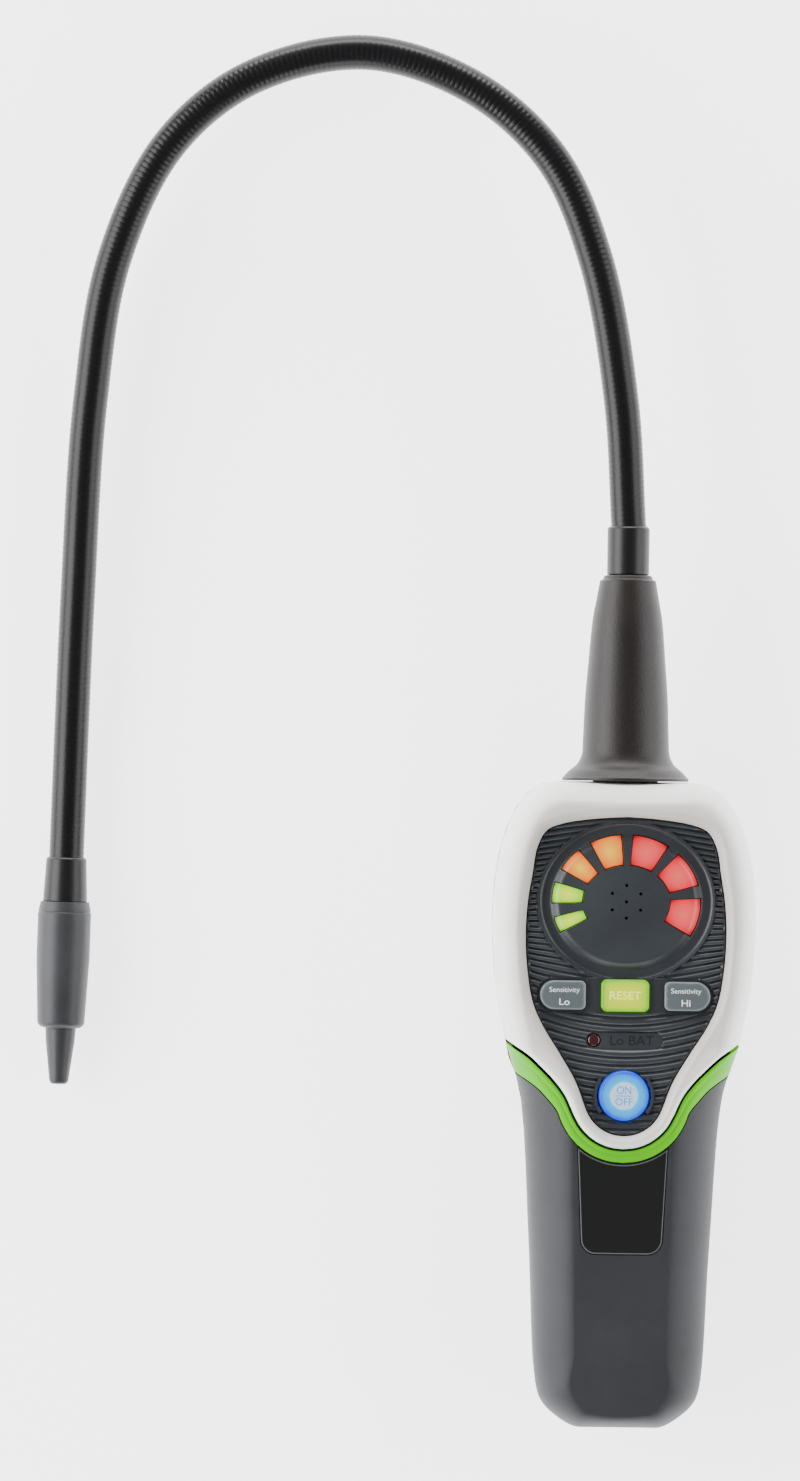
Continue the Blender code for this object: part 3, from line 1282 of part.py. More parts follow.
def build_neck_root():
    """Boot, base sleeve and nut on the neck's axis. Returns where the nut starts and the sleeve ends."""
    flange_y = HALF_LENGTH + GAP
    inside = -WALL - 2 * GAP
    inner_end = inside - BOOT_INNER_FLANGE_THICKNESS
    profile = (
        (BORE_RADIUS, inner_end),
        (BOOT_INNER_FLANGE_RADIUS, inner_end),
        (BOOT_INNER_FLANGE_RADIUS, inside),
        (BOOT_SHANK_RADIUS, inside),
        (BOOT_SHANK_RADIUS, 0.0),
        (BOOT_FLANGE_RADIUS, 0.0),
        (BOOT_FLANGE_RADIUS, BOOT_FLANGE_THICKNESS),
        *BOOT_BODY,
        (BOOT_LIP_RADIUS, BOOT_BODY[-1][1]),
        (BOOT_LIP_RADIUS, BOOT_LENGTH),
        (BORE_RADIUS, BOOT_LENGTH),
    )
    place_on_neck(turned("neck_boot", profile, "boot_rubber", segments=20), flange_y)
    sleeve_profile = (
        (BORE_RADIUS, 0.0),
        (BASE_SLEEVE_RADIUS, 0.0),
        (BASE_SLEEVE_RADIUS, BASE_SLEEVE_LENGTH - SLEEVE_CHAMFER),
        (BASE_SLEEVE_RADIUS - SLEEVE_CHAMFER, BASE_SLEEVE_LENGTH),
        (BORE_RADIUS, BASE_SLEEVE_LENGTH),
    )
    sleeve_y = flange_y + BOOT_LENGTH + GAP
    place_on_neck(turned("base_sleeve", sleeve_profile, "neck_black"), sleeve_y)
    nut_y = flange_y + inner_end - GAP - NUT_LENGTH
    nut_loops = (
        (BORE_RADIUS, 0.0),
        (NUT_RADIUS, 0.0),
        (NUT_RADIUS, NUT_LENGTH),
        (BORE_RADIUS, NUT_LENGTH),
    )
    place_on_neck(turned("neck_nut", nut_loops, "steel", segments=12), nut_y)
    return nut_y, sleeve_y + BASE_SLEEVE_LENGTH


def neck_path(root_y, sleeve_end_y):
    """Dense middle line of the gooseneck, from the nut to inside the tip sleeve."""
    lean = math.radians(PROBE_LEAN)
    tip = ROUTE[-1]
    inside = TIP_SLEEVE_LENGTH - GAP
    end = (tip[0] - inside * math.sin(lean), tip[1] - inside * math.cos(lean))
    straight = [(0.0, root_y), (0.0, sleeve_end_y)]
    flat = smooth_path([straight[1]] + list(ROUTE[1:]) + [end], steps=16)
    flat = np.vstack([[straight[0]], flat])
    lengths = np.concatenate([[0.0], np.cumsum(np.linalg.norm(np.diff(flat, axis=0), axis=1))])
    rise_start = lengths[1] + NECK_END_MARGIN
    rise_end = lengths[-1] - 2 * TIP_SLEEVE_LENGTH
    share = np.clip((lengths - rise_start) / (rise_end - rise_start), 0.0, 1.0)
    ease = share * share * (3 - 2 * share)
    heights = NECK_HEIGHT + (BARREL_RADIUS - NECK_HEIGHT) * ease
    return np.column_stack([flat, heights]), lengths


def neck_frame(path, lengths, place):
    """Point and three axes of the gooseneck's middle line at a length along it."""
    step = 0.0004
    point = np.array([np.interp(place, lengths, path[:, k]) for k in range(3)])
    ahead = np.array([np.interp(place + step, lengths, path[:, k]) for k in range(3)])
    behind = np.array([np.interp(place - step, lengths, path[:, k]) for k in range(3)])
    tangent = (ahead - behind) / np.linalg.norm(ahead - behind)
    side = np.cross(tangent, (0.0, 0.0, 1.0))
    side /= np.linalg.norm(side)
    return point, tangent, side, np.cross(side, tangent)


def neck_ring(point, side, up, radius):
    """One loop of the gooseneck's outer surface."""
    angles = [2 * math.pi * (i + 0.5) / NECK_SIDES for i in range(NECK_SIDES)]
    return [tuple(point + radius * (math.cos(a) * side + math.sin(a) * up)) for a in angles]


def neck_link(name, path, lengths, start, end, seat, dome):
    """One stretch of the gooseneck, with a hollow seat at its start and a dome at its end."""
    loops = []
    if seat:
        socket = NECK_RADIUS + NECK_SOCKET_CLEARANCE
        point, tangent, side, up = neck_frame(path, lengths, start)
        rim = math.asin(NECK_RADIUS / socket)
        for angle in np.linspace(0.10, rim, 4):
            centre = point + socket * math.cos(angle) * tangent
            loops.append(neck_ring(centre, side, up, socket * math.sin(angle)))
        first = start + socket * math.cos(rim) + NECK_RING_PITCH / 2
    else:
        first = start
    count = max(int(round((end - first) / NECK_RING_PITCH)), 1)
    for place in np.linspace(first, end, count + 1):
        point, tangent, side, up = neck_frame(path, lengths, place)
        loops.append(neck_ring(point, side, up, NECK_RADIUS))
    if dome:
        point, tangent, side, up = neck_frame(path, lengths, end)
        for angle in np.radians((28.0, 55.0, 80.0)):
            centre = point + NECK_RADIUS * math.sin(angle) * tangent
            loops.append(neck_ring(centre, side, up, NECK_RADIUS * math.cos(angle)))
    link = loft(name, loops, "neck_black")
    origin = neck_frame(path, lengths, start)[0]
    return set_origin(link, origin)


def build_gooseneck(root_y, sleeve_end_y):
    """The gooseneck as a root piece, a chain of links and a tip piece, each pivoting on the last."""
    path, lengths = neck_path(root_y, sleeve_end_y)
    first = lengths[1] + NECK_END_MARGIN
    last = lengths[-1] - TIP_SLEEVE_LENGTH - NECK_END_MARGIN
    pivots = np.linspace(first, last, NECK_LINKS + 1)
    neck_link("gooseneck_root", path, lengths, lengths[0], pivots[0], False, True)
    for number, (start, end) in enumerate(zip(pivots, pivots[1:]), 1):
        neck_link(f"gooseneck_link_{number}", path, lengths, start, end, True, True)
    neck_link("gooseneck_tip", path, lengths, pivots[-1], lengths[-1], True, False)


def build_probe():
    """Tip sleeve, sensor barrel with its set screw and element, and nozzle, on the probe's axis."""
    axis = bpy.data.objects.new("probe_axis", None)
    bpy.context.collection.objects.link(axis)
    axis.location = (ROUTE[-1][0], ROUTE[-1][1], BARREL_RADIUS)
    axis.rotation_euler = (math.pi / 2, 0, -math.radians(PROBE_LEAN))
    sleeve = turned("tip_sleeve", (
        (BORE_RADIUS, 0.0),
        (TIP_SLEEVE_TOP_RADIUS - PROBE_CHAMFER, 0.0),
        (TIP_SLEEVE_TOP_RADIUS, PROBE_CHAMFER),
        (TIP_SLEEVE_BOTTOM_RADIUS, TIP_SLEEVE_LENGTH),
        (BORE_RADIUS, TIP_SLEEVE_LENGTH),
    ), "neck_black")
    top = TIP_SLEEVE_LENGTH + GAP
    barrel = turned("sensor_barrel", (
        (BARREL_BORE_RADIUS, 0.0),
        (BARREL_TOP_RADIUS - PROBE_CHAMFER, 0.0),
        (BARREL_TOP_RADIUS, PROBE_CHAMFER),
        (BARREL_RADIUS, BARREL_COLLAR),
        (BARREL_RADIUS, BARREL_WIDEST),
        (BARREL_END_RADIUS, BARREL_LENGTH - BARREL_END_ROUND),
        (BARREL_END_RADIUS - BARREL_END_ROUND, BARREL_LENGTH),
        (BARREL_BORE_RADIUS, BARREL_LENGTH),
    ), "probe_grey", segments=24)
    hole_radius = SET_SCREW_RADIUS + GAP
    hole_profile = ((hole_radius, 0.0), (hole_radius, 2 * BARREL_RADIUS))
    hole = turned("set_screw_hole", hole_profile, centred=True, segments=10)
    hole.rotation_euler = (0, -math.pi / 2, 0)
    hole.location = (0.0, 0.0, SET_SCREW_PLACE)
    bpy.context.view_layer.update()
    cut(barrel, hole)
    screw_profile = ((SET_SCREW_RADIUS, 0.0), (SET_SCREW_RADIUS, SET_SCREW_LENGTH))
    screw = turned("barrel_set_screw", screw_profile, "steel", centred=True, segments=10)
    screw.rotation_euler = (0, -math.pi / 2, 0)
    screw.location = (-BARREL_RADIUS + SET_SCREW_LENGTH + GAP, 0.0, top + SET_SCREW_PLACE)
    end = top + BARREL_LENGTH
    nozzle = turned("sensor_nozzle", (
        (NOZZLE_BORE_RADIUS, -NOZZLE_SHANK_LENGTH),
        (BARREL_BORE_RADIUS - GAP, -NOZZLE_SHANK_LENGTH),
        (BARREL_BORE_RADIUS - GAP, 0.0),
        (NOZZLE_RADIUS, GAP),
        (NOZZLE_COLLAR_RADIUS, NOZZLE_COLLAR_LENGTH),
        (NOZZLE_TIP_RADIUS, NOZZLE_LENGTH - NOZZLE_TIP_ROUND),
        (NOZZLE_TIP_RADIUS - NOZZLE_TIP_ROUND, NOZZLE_LENGTH),
        (NOZZLE_BORE_RADIUS, NOZZLE_LENGTH),
    ), "probe_grey")
    element = turned("sensor_element", (
        (BARREL_BORE_RADIUS - GAP, 0.0),
        (BARREL_BORE_RADIUS - GAP, ELEMENT_LENGTH),
    ), "sensor_brass", segments=16, centred=True)
    barrel.location = (0.0, 0.0, top)
    nozzle.location = (0.0, 0.0, end)
    element.location = (0.0, 0.0, end - NOZZLE_SHANK_LENGTH - GAP - ELEMENT_LENGTH)
    for piece in (sleeve, barrel, screw, nozzle, element):
        piece.parent = axis


def main():
    """Clear the scene and build the leak detector."""
    for item in list(bpy.data.objects):
        bpy.data.objects.remove(item, do_unlink=True)
    build_rear_housing()
    build_battery_door()
    build_front_grip()
    build_name_label()
    build_front_bezel()
    build_accent_trim()
    build_control_panel()
    build_windows()
    build_buttons()
    build_inside()
    build_screws()
    build_battery_bay()
    root_y, sleeve_end_y = build_neck_root()
    build_gooseneck(root_y, sleeve_end_y)
    build_probe()


main()
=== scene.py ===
"""Looks of the refrigerant leak detector: its moulded shells, lit panel, boot, gooseneck and probe."""

import logging
import math
from dataclasses import dataclass, field
from enum import Enum
from typing import Callable, Optional, Sequence

import bmesh
import bpy
import numpy as np
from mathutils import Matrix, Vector
from mathutils.geometry import delaunay_2d_cdt


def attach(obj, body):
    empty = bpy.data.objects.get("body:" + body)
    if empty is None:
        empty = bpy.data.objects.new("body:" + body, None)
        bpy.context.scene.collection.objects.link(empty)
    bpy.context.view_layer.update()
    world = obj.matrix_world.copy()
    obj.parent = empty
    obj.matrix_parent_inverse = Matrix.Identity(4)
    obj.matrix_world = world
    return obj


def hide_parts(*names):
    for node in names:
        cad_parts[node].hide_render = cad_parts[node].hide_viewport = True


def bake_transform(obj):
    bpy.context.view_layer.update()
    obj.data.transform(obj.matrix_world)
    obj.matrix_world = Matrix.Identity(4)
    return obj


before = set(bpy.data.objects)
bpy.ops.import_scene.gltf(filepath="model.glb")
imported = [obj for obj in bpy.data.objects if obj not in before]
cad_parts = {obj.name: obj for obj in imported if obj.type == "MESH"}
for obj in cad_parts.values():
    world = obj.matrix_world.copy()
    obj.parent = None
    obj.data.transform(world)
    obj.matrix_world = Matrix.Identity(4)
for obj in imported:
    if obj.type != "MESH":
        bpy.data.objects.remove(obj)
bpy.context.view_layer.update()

LOG = logging.getLogger("leak_detector")
MM = 0.001
GAP = 0.0003
SHARP_ANGLE = math.radians(35)
SKIN_RISE = 0.00004

Array = np.ndarray
Pair = tuple[float, float]


def linear(code: str) -> tuple[float, float, float, float]:
    """Turn an sRGB hex colour into linear values with full alpha.

    Args:
        code: Six hex digits with a leading #.

    Returns:
        Linear red, green, blue and 1.
    """
    shares = [int(code[i:i + 2], 16) / 255 for i in (1, 3, 5)]
    turned = [s / 12.92 if s <= 0.04045 else ((s + 0.055) / 1.055) ** 2.4 for s in shares]
    return (*turned, 1.0)


def smooth_step(value: Array, low: float, high: float) -> Array:
    """Ease from 0 at low to 1 at high by 3t^2 - 2t^3."""
    t = np.clip((value - low) / (high - low), 0.0, 1.0)
    return t * t * (3 - 2 * t)


def smooth_path(points: Sequence[Sequence[float]], steps: int = 16) -> Array:
    """Centripetal Catmull-Rom curve through points: each span's knots lie a root of its length apart.

    Args:
        points: Points of any dimension.
        steps: Number of steps in each span.

    Returns:
        Array of curve points.
    """
    knots = np.array(points, dtype=float)
    chain = np.vstack([2 * knots[0] - knots[1], knots, 2 * knots[-1] - knots[-2]])
    spans = []
    for i in range(1, len(chain) - 2):
        p0, p1, p2, p3 = chain[i - 1:i + 3]
        roots = np.sqrt(np.linalg.norm(np.diff(chain[i - 1:i + 3], axis=0), axis=1))
        t0, t1, t2, t3 = np.concatenate([[0.0], np.cumsum(roots)])
        t = np.linspace(t1, t2, steps, endpoint=False)[:, None]
        a1 = (t1 - t) / (t1 - t0) * p0 + (t - t0) / (t1 - t0) * p1
        a2 = (t2 - t) / (t2 - t1) * p1 + (t - t1) / (t2 - t1) * p2
        a3 = (t3 - t) / (t3 - t2) * p2 + (t - t2) / (t3 - t2) * p3
        b1 = (t2 - t) / (t2 - t0) * a1 + (t - t0) / (t2 - t0) * a2
        b2 = (t3 - t) / (t3 - t1) * a2 + (t - t1) / (t3 - t1) * a3
        spans.append((t2 - t) / (t2 - t1) * b1 + (t - t1) / (t2 - t1) * b2)
    return np.vstack(spans + [knots[-1:]])


def resample(path: Array, count: int, turn_weight: float = 0.0) -> Array:
    """Spread count + 1 points along a path, closer together where it turns.

    Args:
        path: Points of the path.
        count: Number of steps.
        turn_weight: Length that one radian of turning counts for.

    Returns:
        Array of count + 1 points.
    """
    steps = np.diff(path, axis=0)
    lengths = np.linalg.norm(steps, axis=1)
    headings = np.unwrap(np.arctan2(steps[:, 1], steps[:, 0]))
    turns = np.abs(np.gradient(headings))
    measure = np.concatenate([[0.0], np.cumsum(lengths + turn_weight * turns)])
    wanted = np.linspace(0.0, measure[-1], count + 1)
    return np.stack([np.interp(wanted, measure, path[:, k]) for k in range(path.shape[1])], axis=1)


def arc(centre: Pair, radius: float, start: float, end: float, steps: int) -> Array:
    """Points on a circle between two angles in degrees."""
    angles = np.radians(np.linspace(start, end, steps + 1))
    return np.stack([centre[0] + radius * np.cos(angles), centre[1] + radius * np.sin(angles)], axis=1)


def mirrored(half: Array) -> Array:
    """Close a right half outline, which starts and ends on the middle line, with its left half."""
    left = half[1:-1][::-1] * (-1.0, 1.0)
    return np.vstack([half, left])


def moved_aside(path: Array, distance: float) -> Array:
    """Move an open path to its right, along the mean normal of its steps."""
    steps = np.diff(path, axis=0)
    steps /= np.linalg.norm(steps, axis=1)[:, None]
    along = np.vstack([steps, steps[-1:]]) + np.vstack([steps[:1], steps])
    along /= np.linalg.norm(along, axis=1)[:, None]
    moved = path + np.stack([along[:, 1], -along[:, 0]], axis=1) * distance
    moved[0] = (0.0, path[0][1] - distance)
    return moved


def rounded_loop(width: float, height: float, left: float, right: float, centre: Pair, steps: int = 10) -> Array:
    """A rectangle's outline with one corner radius on its left and one on its right, anticlockwise."""
    half_x, half_y = width / 2, height / 2
    x, y = centre
    loop = np.vstack([
        arc((x + half_x - right, y - half_y + right), right, -90, 0, steps),
        arc((x + half_x - right, y + half_y - right), right, 0, 90, steps),
        arc((x - half_x + left, y + half_y - left), left, 90, 180, steps),
        arc((x - half_x + left, y - half_y + left), left, 180, 270, steps),
    ])
    keep = np.linalg.norm(loop - np.roll(loop, 1, axis=0), axis=1) > GAP / 30
    return loop[keep]


def oval(width: float, height: float, centre: Pair, steps: int = 120) -> Array:
    """Points around an ellipse."""
    turn = np.linspace(0, 2 * math.pi, steps, endpoint=False)
    return np.stack([centre[0] + width / 2 * np.cos(turn), centre[1] + height / 2 * np.sin(turn)], axis=1)


def grid_faces(rows: int, columns: int, wrap_rows: bool = False, wrap_columns: bool = False) -> list:
    """Quads between the neighbours of a grid of vertices.

    Args:
        rows: Number of rows.
        columns: Number of vertices in each row.
        wrap_rows: Whether the last row joins the first.
        wrap_columns: Whether the last column joins the first.

    Returns:
        List of four vertex numbers for each quad.
    """
    r = np.arange(rows if wrap_rows else rows - 1)[:, None]
    c = np.arange(columns if wrap_columns else columns - 1)[None, :]
    r2, c2 = (r + 1) % rows, (c + 1) % columns
    corners = [r * columns + c, r * columns + c2, r2 * columns + c2, r2 * columns + c]
    return np.stack([np.broadcast_to(k, (r.size, c.size)) for k in corners], axis=-1).reshape(-1, 4).tolist()


@dataclass
class Piece:
    """One mesh piece of the scene: its points, faces and the body it rides on."""

    name: str
    body: str
    slot: str
    material: bpy.types.Material
    stands_for: tuple[str, ...] = ()

    def make(self, points: Array, faces: list, uv: Optional[Array] = None, closed: bool = True,
             ride: bool = True) -> bpy.types.Object:
        """Put points and faces into a mesh with smooth shading and sharp creases.

        Args:
            points: Array of vertex places in metres.
            faces: Lists of vertex numbers.
            uv: One surface coordinate pair for each vertex.
            closed: Whether doubles are merged and the normals turned outwards.
            ride: Whether the piece rides on its body as a whole.

        Returns:
            The new object.
        """
        mesh = bpy.data.meshes.new(self.name)
        mesh.from_pydata(np.asarray(points).reshape(-1, 3).tolist(), [], faces)
        if uv is not None:
            lay_surface(mesh, uv)
        made = bpy.data.objects.new(self.name, mesh)
        bpy.context.scene.collection.objects.link(made)
        if closed:
            face_outwards(mesh)
        return self.dress(made, ride)

    def dress(self, made: bpy.types.Object, ride: bool = True) -> bpy.types.Object:
        """Shade, dress and seat an object as this piece."""
        mesh = made.data
        mesh.shade_smooth()
        mesh.set_sharp_from_angle(angle=SHARP_ANGLE)
        mesh.materials.clear()
        mesh.materials.append(self.material)
        if ride:
            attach(made, self.body)
        if self.stands_for:
            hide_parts(*self.stands_for)
        LOG.info("%s: %d faces on %s", self.name, len(mesh.polygons), self.body)
        return made


def lay_surface(mesh: bpy.types.Mesh, uv: Array) -> None:
    """Give a mesh a surface coordinate from one pair for each vertex."""
    corner = np.empty(len(mesh.loops), dtype=np.int32)
    mesh.loops.foreach_get("vertex_index", corner)
    layer = mesh.uv_layers.new(name="surface")
    layer.data.foreach_set("uv", np.asarray(uv, dtype=np.float32)[corner].ravel())


def face_outwards(mesh: bpy.types.Mesh) -> None:
    """Merge a closed mesh's doubles and turn its faces outwards."""
    work = bmesh.new()
    work.from_mesh(mesh)
    bmesh.ops.remove_doubles(work, verts=work.verts, dist=1e-6)
    bmesh.ops.recalc_face_normals(work, faces=work.faces)
    work.to_mesh(mesh)
    work.free()


def raw_solid(name: str, points: Array, faces: list, uv: Optional[Array] = None) -> bpy.types.Object:
    """Make a bare closed object, to cut or join with."""
    mesh = bpy.data.meshes.new(name)
    mesh.from_pydata(np.asarray(points).reshape(-1, 3).tolist(), [], faces)
    if uv is not None:
        lay_surface(mesh, uv)
    face_outwards(mesh)
    made = bpy.data.objects.new(name, mesh)
    bpy.context.scene.collection.objects.link(made)
    return made


def stacked_solid(name: str, loops: Array) -> bpy.types.Object:
    """Make a bare solid from equal closed loops, with a flat face at each end."""
    rows, columns = loops.shape[:2]
    faces = grid_faces(rows, columns, wrap_columns=True)
    faces.append(list(range(columns))[::-1])
    faces.append(list(range((rows - 1) * columns, rows * columns)))
    return raw_solid(name, loops, faces)


def prism(name: str, outline: Array, low: float | Array, high: float | Array) -> bpy.types.Object:
    """Make a bare upright solid over a plan outline."""
    low_z = np.broadcast_to(low, len(outline))
    high_z = np.broadcast_to(high, len(outline))
    return stacked_solid(name, np.stack([np.column_stack([outline, z]) for z in (low_z, high_z)]))


def shaped(target: bpy.types.Object, tool: bpy.types.Object, operation: str = "DIFFERENCE") -> bpy.types.Object:
    """Apply a Boolean of a bare solid to an object and remove the solid."""
    change = target.modifiers.new("shape", "BOOLEAN")
    change.operation = operation
    change.object = tool
    change.solver = "EXACT"
    graph = bpy.context.evaluated_depsgraph_get()
    mesh = bpy.data.meshes.new_from_object(target.evaluated_get(graph))
    target.modifiers.clear()
    old = target.data
    target.data = mesh
    bpy.data.meshes.remove(old)
    bpy.data.objects.remove(tool)
    return target


def add_node(tree: bpy.types.NodeTree, kind: str, settings: Optional[dict] = None,
             values: Optional[dict] = None, sources: Optional[dict] = None) -> bpy.types.Node:
    """Add a node with its settings, socket values and links.

    Args:
        tree: Node tree that takes the node.
        kind: Node type.
        settings: Attribute values of the node.
        values: Default values by input name or number.
        sources: Output sockets linked to inputs, by input name or number.

    Returns:
        The new node.
    """
    node = tree.nodes.new(kind)
    for key, value in (settings or {}).items():
        setattr(node, key, value)
    for key, value in (values or {}).items():
        node.inputs[key].default_value = value
    for key, source in (sources or {}).items():
        tree.links.new(source, node.inputs[key])
    return node


def colour_ramp(tree: bpy.types.NodeTree, source: bpy.types.NodeSocket,
                stops: Sequence[tuple[float, str]]) -> bpy.types.NodeSocket:
    """Turn a factor into a colour through stops of place and hex colour."""
    ramp = add_node(tree, "ShaderNodeValToRGB", sources={"Fac": source})
    elements = ramp.color_ramp.elements
    while len(elements) < len(stops):
        elements.new(0.5)
    for element, (place, code) in zip(elements, stops):
        element.position = place
        element.color = linear(code)
    return ramp.outputs["Color"]


class Pattern(Enum):
    """Which pattern the grain of a moulded surface follows."""

    SPARK = "spark eroded, an even fine grain of the steel mould"
    LEATHER = "soft worn grain of rubber, in larger cells"
    SMOOTH = "polished mould, with only a slow unevenness"


@dataclass(frozen=True)
class Moulding:
    """Injection moulded plastic or rubber: a base colour, slow shade variation and a mould grain."""

    name: str
    colour: str
    shade: str
    roughness: float
    grain_mm: float
    grain_depth_mm: float
    pattern: Pattern = Pattern.SPARK
    coat: float = 0.0
    specks: float = 0.0
    specular: float = 0.5
    painted_shade_colour: str = ""
    glow: float = 0.0

    def make(self) -> bpy.types.Material:
        """Make the material: noise in real millimetres drives shade, roughness and bump.

        Returns:
            The node-based material.
        """
        made = bpy.data.materials.new(self.name)
        made.use_nodes = True
        tree = made.node_tree
        shader = tree.nodes["Principled BSDF"]
        place = add_node(tree, "ShaderNodeTexCoord").outputs["Object"]
        slow = add_node(tree, "ShaderNodeTexNoise", values={"Scale": 1 / (18 * MM), "Detail": 3.0},
                        sources={"Vector": place})
        fine = self.grain_texture(tree, place)
        mixing = add_node(tree, "ShaderNodeMath", {"operation": "MULTIPLY_ADD"}, {1: self.specks},
                          {0: fine, 2: slow.outputs["Fac"]})
        colour = colour_ramp(tree, mixing.outputs[0], ((0.30, self.colour), (0.75 + self.specks, self.shade)))
        # Painted shade: when a shade colour is given, the colour follows the surface coordinate's second value
        # instead. It darkens from the base colour, through the shade colour, to the painted shade colour towards the
        # opening.
        if self.painted_shade_colour:
            uv = add_node(tree, "ShaderNodeTexCoord").outputs["UV"]
            depth = add_node(tree, "ShaderNodeSeparateXYZ", sources={"Vector": uv})
            colour = colour_ramp(tree, depth.outputs["Y"], ((0.25, self.colour), (0.62, self.shade), (0.95, self.painted_shade_colour)))
        tree.links.new(colour, shader.inputs["Base Color"])
        rough = add_node(tree, "ShaderNodeMapRange",
                         values={"To Min": self.roughness - 0.05, "To Max": self.roughness + 0.06},
                         sources={"Value": fine})
        tree.links.new(rough.outputs["Result"], shader.inputs["Roughness"])
        bump = add_node(tree, "ShaderNodeBump", values={"Strength": 0.6, "Distance": self.grain_depth_mm * MM},
                        sources={"Height": fine})
        tree.links.new(bump.outputs["Normal"], shader.inputs["Normal"])
        # Painted light: a glow makes the moulding give off its own colour, though it is no lamp.
        if self.glow:
            tree.links.new(colour, shader.inputs["Emission Color"])
        shader.inputs["Emission Strength"].default_value = self.glow
        shader.inputs["Specular IOR Level"].default_value = self.specular
        shader.inputs["Coat Weight"].default_value = self.coat
        shader.inputs["Coat Roughness"].default_value = 0.12
        shader.inputs["IOR"].default_value = 1.5
        return made

    def grain_texture(self, tree: bpy.types.NodeTree, place: bpy.types.NodeSocket) -> bpy.types.NodeSocket:
        """Add the grain that the mould leaves, with cells of the grain's size."""
        scale = 1 / (self.grain_mm * MM)
        if self.pattern is Pattern.LEATHER:
            cells = add_node(tree, "ShaderNodeTexVoronoi", values={"Scale": scale, "Randomness": 1.0},
                             sources={"Vector": place})
            return cells.outputs["Distance"]
        detail = 5.0 if self.pattern is Pattern.SPARK else 1.0
        noise = add_node(tree, "ShaderNodeTexNoise", values={"Scale": scale, "Detail": detail},
                         sources={"Vector": place})
        return noise.outputs["Fac"]


@dataclass(frozen=True)
class LitPlastic:
    """Translucent moulding lit from behind: bright where the lamp sits, deeper in colour at its edges."""

    name: str
    stops: tuple[tuple[float, str], ...]
    strength: float
    body: str
    centre: Pair = (0.5, 0.5)
    stretch: Pair = (1.0, 1.0)
    roughness: float = 0.3

    def make(self) -> bpy.types.Material:
        """Make the material: distance from the lamp's place on the surface picks the glow's colour.

        Returns:
            The node-based material.
        """
        made = bpy.data.materials.new(self.name)
        made.use_nodes = True
        tree = made.node_tree
        shader = tree.nodes["Principled BSDF"]
        uv = add_node(tree, "ShaderNodeTexCoord").outputs["UV"]
        away = add_node(tree, "ShaderNodeVectorMath", {"operation": "SUBTRACT"}, {1: (*self.centre, 0.0)}, {0: uv})
        scaled = add_node(tree, "ShaderNodeVectorMath", {"operation": "MULTIPLY"}, {1: (*self.stretch, 0.0)},
                          {0: away.outputs[0]})
        distance = add_node(tree, "ShaderNodeVectorMath", {"operation": "LENGTH"}, sources={0: scaled.outputs[0]})
        place = add_node(tree, "ShaderNodeTexCoord").outputs["Object"]
        milk = add_node(tree, "ShaderNodeTexNoise", values={"Scale": 1 / (2.5 * MM), "Detail": 2.0},
                        sources={"Vector": place})
        spread = add_node(tree, "ShaderNodeMath", {"operation": "MULTIPLY_ADD"}, {1: 0.10},
                          {0: milk.outputs["Fac"], 2: distance.outputs["Value"]})
        colour = colour_ramp(tree, spread.outputs[0], self.stops)
        tree.links.new(colour, shader.inputs["Emission Color"])
        shader.inputs["Base Color"].default_value = linear(self.body)
        shader.inputs["Emission Strength"].default_value = self.strength
        shader.inputs["Roughness"].default_value = self.roughness
        return made


@dataclass(frozen=True)
class PlainInk:
    """Screen-printed ink: a flat film with a faint unevenness of its own."""

    name: str
    colour: str
    shade: str
    glow: float = 0.0

    def make(self) -> bpy.types.Material:
        """Make the material.

        Returns:
            The node-based material.
        """
        made = bpy.data.materials.new(self.name)
        made.use_nodes = True
        tree = made.node_tree
        shader = tree.nodes["Principled BSDF"]
        place = add_node(tree, "ShaderNodeTexCoord").outputs["Object"]
        film = add_node(tree, "ShaderNodeTexNoise", values={"Scale": 1 / (0.4 * MM)}, sources={"Vector": place})
        colour = colour_ramp(tree, film.outputs["Fac"], ((0.35, self.colour), (0.7, self.shade)))
        tree.links.new(colour, shader.inputs["Base Color"])
        tree.links.new(colour, shader.inputs["Emission Color"])
        shader.inputs["Emission Strength"].default_value = self.glow
        shader.inputs["Roughness"].default_value = 0.5
        return made


@dataclass(frozen=True)
class MetalFinish:
    """Bare metal of small hidden fittings, with fine machining marks."""

    name: str
    colour: str
    shade: str
    roughness: float

    def make(self) -> bpy.types.Material:
        """Make the material: a noise stretched along one way gives the machining marks.

        Returns:
            The node-based material.
        """
        made = bpy.data.materials.new(self.name)
        made.use_nodes = True
        tree = made.node_tree
        shader = tree.nodes["Principled BSDF"]
        place = add_node(tree, "ShaderNodeTexCoord").outputs["Object"]
        along = add_node(tree, "ShaderNodeMapping", values={"Scale": (1.0, 0.1, 1.0)}, sources={"Vector": place})
        marks = add_node(tree, "ShaderNodeTexNoise", values={"Scale": 1 / (0.3 * MM), "Detail": 2.0},
                         sources={"Vector": along.outputs["Vector"]})
        colour = colour_ramp(tree, marks.outputs["Fac"], ((0.3, self.colour), (0.7, self.shade)))
        tree.links.new(colour, shader.inputs["Base Color"])
        shader.inputs["Metallic"].default_value = 1.0
        shader.inputs["Roughness"].default_value = self.roughness
        return made


